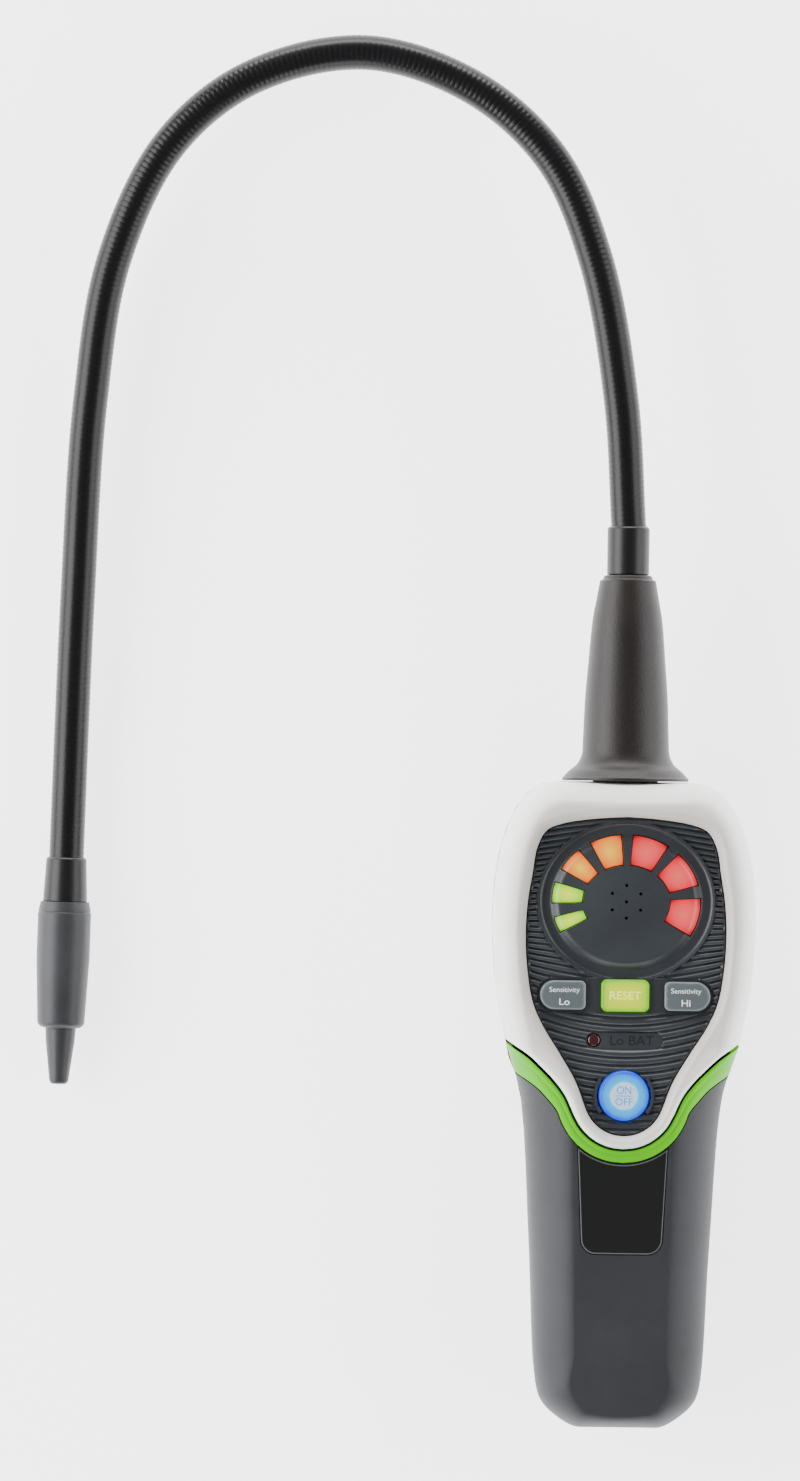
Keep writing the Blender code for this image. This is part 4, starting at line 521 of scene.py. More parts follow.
@dataclass(frozen=True)
class PaintedHighlightPlate:
    """Thin printed plate: a dark satin field with a painted highlight, a fine light band a set way in from its edge.

    The surface coordinate's second value is the distance from the edge in centimetres.
    """

    name: str
    field_colour: str
    highlight_colour: str
    highlight_start: float
    highlight_end: float

    def make(self) -> bpy.types.Material:
        """Make the material.

        Returns:
            The node-based material.
        """
        made = bpy.data.materials.new(self.name)
        made.use_nodes = True
        tree = made.node_tree
        shader = tree.nodes["Principled BSDF"]
        uv = add_node(tree, "ShaderNodeTexCoord").outputs["UV"]
        parts = add_node(tree, "ShaderNodeSeparateXYZ", sources={"Vector": uv})
        # Painted highlight: the light colour fills the band between the two distances from the edge.
        after = add_node(tree, "ShaderNodeMath", {"operation": "GREATER_THAN"}, {1: self.highlight_start * 100},
                         {0: parts.outputs["Y"]})
        before = add_node(tree, "ShaderNodeMath", {"operation": "LESS_THAN"}, {1: self.highlight_end * 100},
                          {0: parts.outputs["Y"]})
        line = add_node(tree, "ShaderNodeMath", {"operation": "MULTIPLY"},
                        sources={0: after.outputs[0], 1: before.outputs[0]})
        colour = colour_ramp(tree, line.outputs[0], ((0.0, self.field_colour), (1.0, self.highlight_colour)))
        place = add_node(tree, "ShaderNodeTexCoord").outputs["Object"]
        film = add_node(tree, "ShaderNodeTexNoise", values={"Scale": 1 / (0.5 * MM)}, sources={"Vector": place})
        bump = add_node(tree, "ShaderNodeBump", values={"Strength": 0.3, "Distance": 0.03 * MM},
                        sources={"Height": film.outputs["Fac"]})
        tree.links.new(colour, shader.inputs["Base Color"])
        tree.links.new(bump.outputs["Normal"], shader.inputs["Normal"])
        shader.inputs["Roughness"].default_value = 0.38
        return made


@dataclass(frozen=True)
class PrintedTube:
    """Glossy black sleeve of the gooseneck.

    The surface coordinate is the length in decimetres and the turn around it from 0 to 1.
    """

    name: str = "black vulcanised neck sleeve"
    colour: str = "#050506"
    shade: str = "#0C0B0E"
    tick_colour: str = "#C9C7C6"
    tick_pitch: float = 0.0042
    tick_share: float = 0.30
    first: float = 0.105
    last: float = 0.395

    def make(self) -> bpy.types.Material:
        """Make the material: a fine noise drives the colour, roughness and bump.

        Returns:
            The node-based material.
        """
        made = bpy.data.materials.new(self.name)
        made.use_nodes = True
        tree = made.node_tree
        shader = tree.nodes["Principled BSDF"]
        coordinates = add_node(tree, "ShaderNodeTexCoord")
        place = coordinates.outputs["Object"]
        fine = add_node(tree, "ShaderNodeTexNoise", values={"Scale": 1 / (0.6 * MM), "Detail": 4.0},
                        sources={"Vector": place})
        base = colour_ramp(tree, fine.outputs["Fac"], ((0.3, self.colour), (0.75, self.shade)))
        tree.links.new(base, shader.inputs["Base Color"])
        rough = add_node(tree, "ShaderNodeMapRange", values={"To Min": 0.26, "To Max": 0.36},
                         sources={"Value": fine.outputs["Fac"]})
        tree.links.new(rough.outputs["Result"], shader.inputs["Roughness"])
        bump = add_node(tree, "ShaderNodeBump", values={"Strength": 0.4, "Distance": 0.04 * MM},
                        sources={"Height": fine.outputs["Fac"]})
        tree.links.new(bump.outputs["Normal"], shader.inputs["Normal"])
        shader.inputs["IOR"].default_value = 1.38
        return made


# Polished ABS: a clean warm white, with painted shade that darkens it to beige where the shell rolls in to the panel.
WHITE_SHELL = Moulding("warm white ABS moulding", "#F3F1EE", "#DFDBD6", 0.36, 0.9, 0.01, Pattern.SMOOTH,
                       painted_shade_colour="#C6C1BA")
# Lime pigment with painted light: the band glows a little of itself, though it is no lamp, so it stays rich green even
# on its lit slopes.
GREEN_TRIM = Moulding("lime green ABS moulding", "#3E8C00", "#489800", 0.34, 1.2, 0.01, Pattern.SMOOTH,
                      specular=0.02, glow=1.2)
# Soft-touch grip: a dull, faintly grained dark grey that shows the facets by broad soft light.
DARK_GRIP = Moulding("dark grey soft-touch grip", "#232428", "#2B2C31", 0.56, 0.35, 0.05, specular=0.4)
# Graphite ABS: satin sheen that draws each rib as a light back and a dark valley.
PANEL_GREY = Moulding("graphite ABS panel", "#272A2E", "#303438", 0.36, 0.3, 0.02, specular=0.5)
# Neoprene: brown-black and speckled, with a leathery sparkle along its light bands.
BOOT_RUBBER = Moulding("moulded neoprene boot", "#070403", "#1E1713", 0.42, 0.34, 0.14, specks=0.3, specular=0.42)
# Spark-eroded nylon: even mid grey with a powdery grain that softens the highlight.
PROBE_GREY = Moulding("spark eroded probe housing", "#26272A", "#323336", 0.44, 0.25, 0.05, specular=0.45)
# Crimped sleeve: the darkest black of the set, with two narrow streaks of light.
SLEEVE_BLACK = Moulding("black crimped sleeve", "#040404", "#09090A", 0.36, 0.3, 0.02, specular=0.4)
# Paper cone seen through the speaker holes: flat black, so each hole reads as a hole.
SPEAKER_BLACK = Moulding("black speaker cone", "#0A0A0A", "#101010", 0.6, 0.3, 0.03)
# Cell wrapper: a tight glossy film with long slow creases.
CELL_WRAP = Moulding("shrink-wrapped cell", "#1B1C21", "#24262C", 0.3, 4.0, 0.01, Pattern.SMOOTH, coat=0.4)
# Solder mask: wet-looking green varnish over copper relief.
BOARD_GREEN = Moulding("solder-masked board", "#124A26", "#17582F", 0.35, 1.5, 0.02, coat=0.3)
# Silicone: chalky light grey without a highlight.
MEMBRANE_GREY = Moulding("silicone keypad", "#77777B", "#828286", 0.6, 0.5, 0.02)
# Unlit lamp: deep red glass with a hard gleam on its dome.
LAMP_DARK = Moulding("unlit red lamp lens", "#280203", "#3C0506", 0.12, 2.0, 0.01, Pattern.SMOOTH, coat=0.6)
# Zinc plating: cool grey metal, cloudy where the bath was uneven.
STEEL = MetalFinish("zinc-plated steel", "#B9BABD", "#C9CACD", 0.32)
# Turned brass: warm yellow metal with fine turning marks.
BRASS = MetalFinish("machined brass", "#B58E4A", "#C9A45C", 0.30)
# Printed plate: near-black gloss, with a painted highlight: one thin pale band on its edge, where the cut edge would
# catch light.
LABEL_BLACK = PaintedHighlightPlate("black printed plate", "#050506", "#5C5E60", 0.0, 0.00028)
# Pad-printed inks: thin flat layers; the pale ones sit over lit keys, so they glow a little too.
WHITE_INK = PlainInk("white key print", "#E2E5E6", "#D5DADB", glow=0.15)
DARK_INK = PlainInk("black panel print", "#050506", "#0A0B0C")
PALE_GREEN_INK = PlainInk("pale reset print", "#ECFF7A", "#E6FF66", glow=0.35)
BLUE_INK = PlainInk("light blue switch print", "#1173C8", "#1C80D4", glow=0.35)


@dataclass(frozen=True)
class HandsetForm:
    """Driving sizes of the handset's outline and section, shared by its shells."""

    length: float = 0.1674
    head_width: float = 0.0682
    head_widest_y: float = 0.0452
    top_flat: float = 0.034
    shoulder_power: float = 2.3
    handle_top_width: float = 0.0508
    handle_top_y: float = -0.0030
    end_width: float = 0.0419
    end_flat: float = 0.0224
    end_chamfer: float = 0.0086
    end_corner: tuple[Pair, ...] = ((0.0, 0.02), (0.38, 0.24), (0.82, 0.68), (1.0, 1.1))
    waist_flare: Pair = (0.0016, 0.0090)
    head_flare: tuple[Pair, ...] = ((0.0049, 0.0144), (0.0034, 0.0220), (0.0013, 0.0326))
    split: float = 0.024
    wall: float = 0.0024
    back_round: float = 0.012
    head_face: float = 0.050
    end_depth: float = 0.041
    top_depth: float = 0.046
    round_share: float = 0.48
    side_wall: float = 0.004
    end_round: Pair = (0.0042, 0.0155)
    facet: Pair = (1.4, 2.1)
    bezel_round: Pair = (0.0068, 0.018)
    power_y: float = 0.0033
    toe_angle: float = -24.0

    @property
    def half(self) -> float:
        """Half of the handset's length."""
        return self.length / 2

    def side(self) -> Array:
        """Right half of the outline: a smooth curve up the handle, then a superellipse shoulder.

        Returns:
            Points from the middle of the end to the middle of the top.
        """
        end_half, top_half, head_half = self.end_width / 2, self.handle_top_width / 2, self.head_width / 2
        flat = self.end_flat / 2
        lower = [(0.0, -self.half), (0.6 * flat, -self.half)]
        lower += [(flat + x * (end_half - flat), y * self.end_chamfer - self.half) for x, y in self.end_corner]
        lower += [
            ((end_half + top_half) / 2, (self.handle_top_y - self.half + self.end_chamfer) / 2),
            (top_half, self.handle_top_y),
            (top_half + self.waist_flare[0], self.handle_top_y + self.waist_flare[1]),
        ]
        lower += [(head_half - inset, self.handle_top_y + rise) for inset, rise in self.head_flare]
        lower.append((head_half, self.head_widest_y))
        corner_x = self.top_flat / 2
        turn = np.radians(np.linspace(0, 90, 60)[1:])
        power = 2 / self.shoulder_power
        shoulder = np.stack([
            corner_x + (head_half - corner_x) * np.cos(turn) ** power,
            self.head_widest_y + (self.half - self.head_widest_y) * np.sin(turn) ** power,
        ], axis=1)
        return np.vstack([smooth_path(lower), shoulder, [(0.0, self.half)]])

    def side_at(self, y: Array) -> Array:
        """Half width of the handset at places along it."""
        edge = self.side()
        rising = edge[:, 1].argsort(kind="stable")
        return np.interp(y, edge[rising, 1], edge[rising, 0])

    def handle_face(self, y: Array) -> Array:
        """Height of the handle's flat middle facet, which falls evenly towards its end."""
        return self.top_depth + (self.top_depth - self.end_depth) * y / self.half

    def bezel_surface(self, x: Array, y: Array) -> Array:
        """Height of the head's shell: flat, with a quarter ellipse down to its side."""
        return self.head_face - quarter_drop(self.side_at(y) - np.abs(x), *self.bezel_round)

    def handle_surface(self, x: Array, y: Array) -> Array:
        """Height of the handle's shell away from its end: flat, with a quarter ellipse to its side."""
        span = self.round_share * self.side_at(y)
        return self.handle_face(y) - quarter_drop(
            self.side_at(y) - np.abs(x), span, self.handle_face(y) - self.split - self.side_wall, self.facet)

    def trim_edge(self, radius: float, arm: Sequence[Pair]) -> Array:
        """Right half of a trim edge: an arc round the toe, then a smooth arm out past the side."""
        toe = arc((0.0, self.power_y), radius, -90, self.toe_angle, 5)
        return smooth_path(np.vstack([toe, [(x, self.power_y + y) for x, y in arm]]))

    def clipped(self, edge: Array, stations: int) -> Array:
        """Points along a trim edge from the toe to where it crosses the handset's side."""
        dense = resample(edge, 400)
        insets = self.side_at(dense[:, 1]) - dense[:, 0]
        last = int(np.argmax(insets <= 0))
        share = insets[last - 1] / (insets[last - 1] - insets[last])
        crossing = dense[last - 1] + (dense[last] - dense[last - 1]) * share
        return resample(np.vstack([dense[:last], crossing]), stations, turn_weight=0.003)


def quarter_drop(inset: Array, width: Array, height: Array, powers: Pair = (2.0, 2.0)) -> Array:
    """Drop of a quarter superellipse at an inset from its steep end: height times 1 - (1 - s^a)^(1/b)."""
    share = np.clip(1.0 - np.asarray(inset) / width, 0.0, 1.0)
    return height * (1.0 - (1.0 - share ** powers[0]) ** (1 / powers[1]))


def spokes(outline: Array, low_y: float, high_y: float) -> tuple[Array, Array, Array]:
    """Spokes from a stretch of the middle line to each outline point.

    Args:
        outline: Closed plan outline.
        low_y: Lowest foot on the middle line.
        high_y: Highest foot on the middle line.

    Returns:
        Feet, unit directions and lengths.
    """
    feet = np.column_stack([np.zeros(len(outline)), np.clip(outline[:, 1], low_y, high_y)])
    reach = outline - feet
    length = np.linalg.norm(reach, axis=1)
    return feet, reach / length[:, None], length


def ray_lengths(path: Array, feet: Array, aims: Array) -> Array:
    """Distance from each foot along its aim to a right half outline or its mirror image."""
    aims = np.abs(aims * (1.0, 0.0)) + aims * (0.0, 1.0)
    start = path[None, :-1] - feet[:, None]
    step = np.diff(path, axis=0)[None]
    cross = aims[:, None, 0] * step[..., 1] - aims[:, None, 1] * step[..., 0]
    cross = np.where(np.abs(cross) < 1e-12, 1e-12, cross)
    along = (start[..., 0] * step[..., 1] - start[..., 1] * step[..., 0]) / cross
    place = (start[..., 0] * aims[:, None, 1] - start[..., 1] * aims[:, None, 0]) / cross
    hit = (place > -1e-6) & (place < 1 + 1e-6) & (along > 0)
    return np.where(hit, along, np.inf).min(axis=1)


@dataclass
class HeadShell:
    """White front shell of the head: a ring from the panel's opening out to its side and the trim."""

    form: HandsetForm
    trim: "TrimBand"
    panel_edge: Array
    stations: int = 150
    edge_round: float = 0.0024
    edge_skirt: float = 0.0046
    slope: Pair = (0.0021, 0.0017)
    ledge_width: float = 0.0007
    ledge_thickness: float = 0.0014
    rim_wall: float = 0.0012
    panel_underside: float = 0.0438
    neck_hole: float = 0.0088

    def rings(self) -> tuple[Array, Array, Array, Array, Array]:
        """Spokes to the shell's outer edge.

        Returns:
            Feet, aims, reach to the opening, reach to the edge, and whether the edge is the side.
        """
        form = self.form
        gap = self.trim.joint
        arm = tuple((x - gap / 2, y + gap) for x, y in self.trim.inner_arm)
        trim = form.clipped(form.trim_edge(self.trim.inner_radius - gap, arm), 90)
        toe = moved_aside(trim, -GAP)[:-1]
        corner_y = trim[-1][1] + 1.4 * GAP
        side = form.side()
        start = [[float(form.side_at(corner_y)), corner_y]]
        upper = resample(np.vstack([start, side[side[:, 1] > corner_y]]), self.stations, 0.012)
        outline = mirrored(np.vstack([toe, upper]))
        feet, aims, outer = spokes(outline, form.power_y, form.head_widest_y + 0.005)
        inner = ray_lengths(self.panel_edge, feet, aims)
        return feet, aims, inner, outer, outline[:, 1] >= corner_y - GAP / 10

    def build(self) -> bpy.types.Object:
        """Carry a section round the spokes: the outer face by quarter ellipses, then the opening's
        slope, wall and ledge, and the inside a wall further in.

        Returns:
            The shell.
        """
        form = self.form
        feet, aims, inner, outer, on_side = self.rings()
        opening = inner + GAP
        shares = np.concatenate([(1 - np.cos(np.linspace(0, math.pi / 2, 16))) ** 1.4 * 0.5,
                                 np.linspace(0.5, 0.88, 10)[1:], np.linspace(0.88, 1.0, 14)[1:]])
        columns: list[tuple[Array, Array]] = []
        for share in shares:
            reach = outer + (opening - outer) * share
            point = feet + aims * reach[:, None]
            inset = outer - reach
            side_drop = quarter_drop(inset, *form.bezel_round)
            edge_drop = quarter_drop(inset, self.edge_round, self.edge_round)
            own = form.head_face - form.bezel_surface(point[:, 0], point[:, 1])
            drop = np.where(on_side, side_drop, own + edge_drop)
            lip = np.clip(1 - (reach - opening) / self.slope[0], 0.0, 1.0)
            columns.append((reach, form.head_face - drop - self.slope[1] * lip ** 1.5))
        edge_height = columns[0][1]
        low = np.full(len(outer), form.split + GAP / 2)
        low = np.where(on_side, low, np.maximum(low, edge_height - self.edge_skirt))
        ledge = self.panel_underside - GAP
        flat = np.ones(len(outer))
        under = form.head_face - self.slope[1] - form.wall
        tail = [(opening, ledge * flat), (opening - self.ledge_width - GAP, ledge * flat),
                (opening - self.ledge_width - GAP, (ledge - self.ledge_thickness) * flat),
                (opening + self.rim_wall, (ledge - self.ledge_thickness) * flat),
                (opening + self.rim_wall, under * flat)]
        for number, turn in enumerate(np.radians((62.0, 35.0, 10.0))):
            inset = form.wall + (form.bezel_round[0] - form.wall) * (1 - math.cos(turn))
            rise = (form.bezel_round[1] - form.wall) * (1 - math.sin(turn))
            reach = np.where(on_side, outer - inset, outer - form.wall - (2 - number) * GAP / 4)
            tail.append((reach, np.where(on_side, form.head_face - form.wall - rise,
                                         edge_height - (number + 1) * form.wall / 5)))
        tail.append((outer - form.wall, low))
        wall = [(outer, low + (edge_height - low) * s) for s in (0.0, 0.5)]
        grid = np.stack([np.column_stack([feet + aims * reach[:, None], height])
                         for reach, height in wall + columns + tail])
        faces = grid_faces(len(grid), len(outer), wrap_rows=True, wrap_columns=True)
        # The surface coordinate's second value runs from 0 at the outer edge to 1 at the opening; the white shell's
        # material paints shade by it.
        depth = np.concatenate([np.zeros(len(wall)), shares, np.ones(len(tail))])
        uv = np.column_stack([np.zeros(grid[..., 0].size), np.repeat(depth, len(outer))])
        shell = raw_solid("front_bezel_shell", grid, faces, uv)
        hole = lathe_points([(0.0, self.neck_hole), (3 * form.wall, self.neck_hole)],
                            Line((0.0, form.half - 2 * form.wall, form.split), (0.0, 1.0, 0.0)), 40)
        shaped(shell, stacked_solid("neck_hole", hole))
        piece = Piece("front_bezel_shell", "handset", "white_shell", WHITE_SHELL.make(), ("front_bezel",))
        return piece.dress(shell)


@dataclass
class TrimBand:
    """Lime green band round the toe of the head, with a crowned face and a fine ridge."""

    form: HandsetForm
    inner_radius: float = 0.0144
    outer_radius: float = 0.0173
    inner_arm: tuple[Pair, ...] = (
        (0.0156, -0.0006), (0.0183, 0.0030), (0.0214, 0.0062), (0.0249, 0.0094), (0.0284, 0.0116), (0.0420, 0.0192))
    outer_arm: tuple[Pair, ...] = (
        (0.0169, -0.0043), (0.0193, -0.0014), (0.0218, 0.0012), (0.0243, 0.0030), (0.0270, 0.0046), (0.0420, 0.0125))
    joint: float = 0.00045
    thickness: float = 0.0016
    step: float = 0.0005
    crown: float = 0.00045
    ridge_share: float = 0.36
    edge_round: float = 0.0024
    stations: int = 120

    def edge_heights(self, edge: Array, inner: bool) -> tuple[Array, Array, Array]:
        """Top height of an edge, how much of it lies on the side's round, and its lower points."""
        form = self.form
        surface = form.bezel_surface if inner else form.handle_surface
        step = -self.edge_round - self.step if inner else self.step
        span = form.bezel_round[0] if inner else form.round_share * form.side_at(edge[:, 1])
        share = np.clip(1.0 - np.maximum(form.side_at(edge[:, 1]) - edge[:, 0], 0.0) / span, 0.0, 1.0)
        height = surface(edge[:, 0], edge[:, 1]) + step * (1.0 - share)
        low_x = edge[:, 0] - self.thickness * share
        low_y = np.interp(low_x, edge[:, 0], edge[:, 1])
        low = np.column_stack([low_x, low_y, height - self.thickness * np.sqrt(1 - share ** 2)])
        return height, share, low

    def build(self) -> bpy.types.Object:
        """Carry a section along the band: straight between its edges, raised by the sine of a
        narrow ridge and a wide slope beside it, and closed underneath.

        Returns:
            The band.
        """
        form = self.form
        inner = form.clipped(form.trim_edge(self.inner_radius, self.inner_arm), self.stations)
        outer = form.clipped(form.trim_edge(self.outer_radius, self.outer_arm), self.stations)
        inner_z, inner_share, inner_low = self.edge_heights(inner, True)
        outer_z, _, outer_low = self.edge_heights(outer, False)
        top_in = np.column_stack([inner, inner_z])
        top_out = np.column_stack([outer, outer_z])
        across = np.linspace(0.0, 1.0, 29)[:, None, None]
        ridge = np.sin(math.pi * np.clip(across / self.ridge_share, 0, 1)) ** 0.8
        slope = 0.75 * np.sin(math.pi * np.clip((across - self.ridge_share) / (1 - self.ridge_share), 0, 1)) ** 0.8
        rise = self.crown * (ridge + slope) * (1 - inner_share ** 2)[None, :, None]
        top = top_in[None] + (top_out - top_in)[None] * across + rise * np.array([0.0, 0.0, 1.0])
        section = np.concatenate([top, outer_low[None], inner_low[None]])
        down = np.linspace(0.0, 1.0, 8)[1:]
        bottom = form.split + GAP / 2
        last = section[:, -1:]
        falls = last + (np.array([1.0, 1.0, 0.0]) * last + (0, 0, bottom) - last) * down[None, :, None]
        section = np.concatenate([section, falls], axis=1)
        left = section[:, 1:][:, ::-1] * (-1.0, 1.0, 1.0)
        grid = np.concatenate([left, section], axis=1).transpose(1, 0, 2)
        rows, columns = grid.shape[:2]
        faces = grid_faces(rows, columns, wrap_columns=True)
        faces += [list(range(columns))[::-1], list(range((rows - 1) * columns, rows * columns))]
        piece = Piece("accent_trim_band", "handset", "green_trim", GREEN_TRIM.make(), ("accent_trim",))
        return piece.make(grid, faces)


@dataclass
class HandleShell:
    """Dark front shell of the handle and the thin plate in its pocket."""

    form: HandsetForm
    trim: TrimBand
    stations: int = 170
    label_top: float = 0.0230
    label_bottom: float = 0.0208
    label_bottom_y: float = -0.0376
    label_corner: float = 0.0038
    label_thickness: float = 0.0005
    highlight_row_insets: Pair = (0.00028, 0.0010)

    def rings(self) -> tuple[Array, Array, Array]:
        """Spokes to the handset's outline."""
        form = self.form
        outline = mirrored(resample(form.side(), self.stations, 0.012))
        return spokes(outline, -form.half + form.end_width / 2, form.half - 0.55 * form.head_width)

    def loops(self, inset: float) -> Array:
        """Loops of the shell's face at an inset, from its split over a quarter superellipse to its facet."""
        form = self.form
        feet, aims, lengths = self.rings()
        across = np.abs(aims[:, 0])
        side = across ** 2
        width = side * form.round_share * lengths + (1 - side) * form.end_round[0]
        edge_y = (feet + aims * lengths[:, None])[:, 1]
        drop = side * (form.handle_face(edge_y) - form.split - form.side_wall) + (1 - side) * form.end_round[1]
        powers = [2 + (power - 2) * side for power in form.facet]
        start = feet + aims * (lengths - inset)[:, None]
        rows = [np.column_stack([start, np.full(len(start), form.split + GAP / 2)])]
        for turn in np.radians(np.linspace(0, 90, 25)):
            offset = inset + (width - inset) * (1 - max(math.cos(turn), 0.0) ** (2 / powers[0]))
            place = feet + aims * (lengths - offset)[:, None]
            face = form.handle_face(place[:, 1]) - inset
            rows.append(np.column_stack([place, face - (drop - inset) * (1 - math.sin(turn) ** (2 / powers[1]))]))
        return np.stack(rows)

    def head_region(self, outset: float) -> Array:
        """Plan outline of all that lies on the head's side of the trim's outer edge."""
        form = self.form
        edge = form.clipped(form.trim_edge(self.trim.outer_radius, self.trim.outer_arm), 90)
        half = moved_aside(edge, outset)
        beyond = half[-1] - half[-2]
        tip = half[-1] + beyond / np.linalg.norm(beyond) * form.head_width / 4
        return mirrored(np.vstack([half, tip, (form.head_width, form.length), (0.0, form.length)]))

    def label_loop(self, inset: float, top_gap: float) -> Array:
        """Outline of the plate: straight sides, round lower corners and a top that follows the trim."""
        low, high = self.label_bottom / 2 - inset, self.label_top / 2 - inset
        radius = self.trim.outer_radius + top_gap
        turn = math.degrees(math.asin(high / radius))
        top = arc((0.0, self.form.power_y), radius, -90 + turn, -90, 16)
        corner = self.label_corner - inset
        bottom_y = self.label_bottom_y + inset
        bend = arc((low - corner, bottom_y + corner), corner, -90, 0, 10)
        return mirrored(np.vstack([[(0.0, bottom_y)], bend, top]))

    def build(self) -> bpy.types.Object:
        """Close the outer and inner faces into a shell, and cut it at the trim and for the plate.

        Returns:
            The shell.
        """
        form = self.form
        solid = stacked_solid("front_grip_shell", np.concatenate([self.loops(0.0)[::-1], self.loops(form.wall)]))
        shaped(solid, prism("head_region", self.head_region(GAP), 0.0, 2 * form.head_face))
        pocket = self.label_loop(-GAP, -GAP)
        floor = form.handle_face(pocket[:, 1]) - self.label_thickness - GAP
        shaped(solid, prism("pocket", pocket, floor, floor + form.wall))
        face_outwards(solid.data)
        return Piece("front_grip_shell", "handset", "dark_grip", DARK_GRIP.make(), ("front_grip",)).dress(solid)

    def build_label(self) -> bpy.types.Object:
        """Stack the plate's loops by inset and close it with flat faces.

        Returns:
            The plate, whose surface coordinate holds each loop's distance from the edge.
        """
        soft = 0.00012
        levels = ((0.0, self.label_thickness), (0.0, soft), (soft, 0.0), (self.highlight_row_insets[0], 0.0),
                  (self.highlight_row_insets[1], 0.0), (self.label_corner * 0.9, 0.0))
        rows, insets = [], []
        for inset, depth in levels:
            loop = self.label_loop(inset, 2 * GAP + inset)
            rows.append(np.column_stack([loop, self.form.handle_face(loop[:, 1]) - depth]))
            insets.append(np.full(len(loop), inset * 100))
        grid = np.stack(rows)
        count = grid.shape[1]
        faces = grid_faces(len(rows), count, wrap_columns=True)
        faces += [list(range(count))[::-1], list(range((len(rows) - 1) * count, len(rows) * count))]
        flat = np.concatenate(insets)
        uv = np.column_stack([np.zeros(len(flat)), flat])
        piece = Piece("name_label_plate", "handset", "label_black", LABEL_BLACK.make(), ("name_label",))
        return piece.make(grid, faces, uv)


@dataclass(frozen=True)
class Line:
    """A place and a direction that turned pieces are built along."""

    origin: tuple[float, float, float]
    aim: tuple[float, float, float]

    def axes(self) -> tuple[Array, Array, Array, Array]:
        """Origin, aim and two directions square to it."""
        aim = np.array(self.aim) / np.linalg.norm(self.aim)
        side = np.cross(aim, (0.0, 0.0, 1.0))
        side /= np.linalg.norm(side)
        return np.array(self.origin), aim, side, np.cross(side, aim)


def lathe_points(profile: Sequence[Pair], line: Line, segments: int) -> Array:
    """Turn a profile of distance along and radius round a line.

    Args:
        profile: Pairs of place along the line and radius.
        line: Axis of the turned piece.
        segments: Points in each ring.

    Returns:
        Grid of rings by segments.
    """
    origin, aim, side, up = line.axes()
    sizes = np.array(profile)
    turn = np.linspace(0, 2 * math.pi, segments, endpoint=False)
    circle = np.cos(turn)[:, None] * side + np.sin(turn)[:, None] * up
    return origin + sizes[:, 0][:, None, None] * aim + sizes[:, 1][:, None, None] * circle[None]


def soft_profile(corners: Sequence[Pair], radius: float, steps: int = 4) -> list[Pair]:
    """Round each inner corner of an open profile by a quadratic curve of a given reach."""
    points = np.array(corners, dtype=float)
    result = [points[0]]
    share = np.linspace(0, 1, steps + 1)[:, None]
    for before, here, after in zip(points, points[1:], points[2:]):
        reach_in = min(radius, np.linalg.norm(here - before) / 2.1)
        reach_out = min(radius, np.linalg.norm(after - here) / 2.1)
        first = here + (before - here) / np.linalg.norm(before - here) * reach_in
        last = here + (after - here) / np.linalg.norm(after - here) * reach_out
        result.extend((1 - share) ** 2 * first + 2 * share * (1 - share) * here + share ** 2 * last)
    result.append(points[-1])
    return [tuple(point) for point in result]


@dataclass(frozen=True)
class Key:
    """A push button's plan, place and finish."""

    name: str
    node: str
    body: str
    slot: str
    loop: Array
    centre: Pair
    crown: float
    edge: float


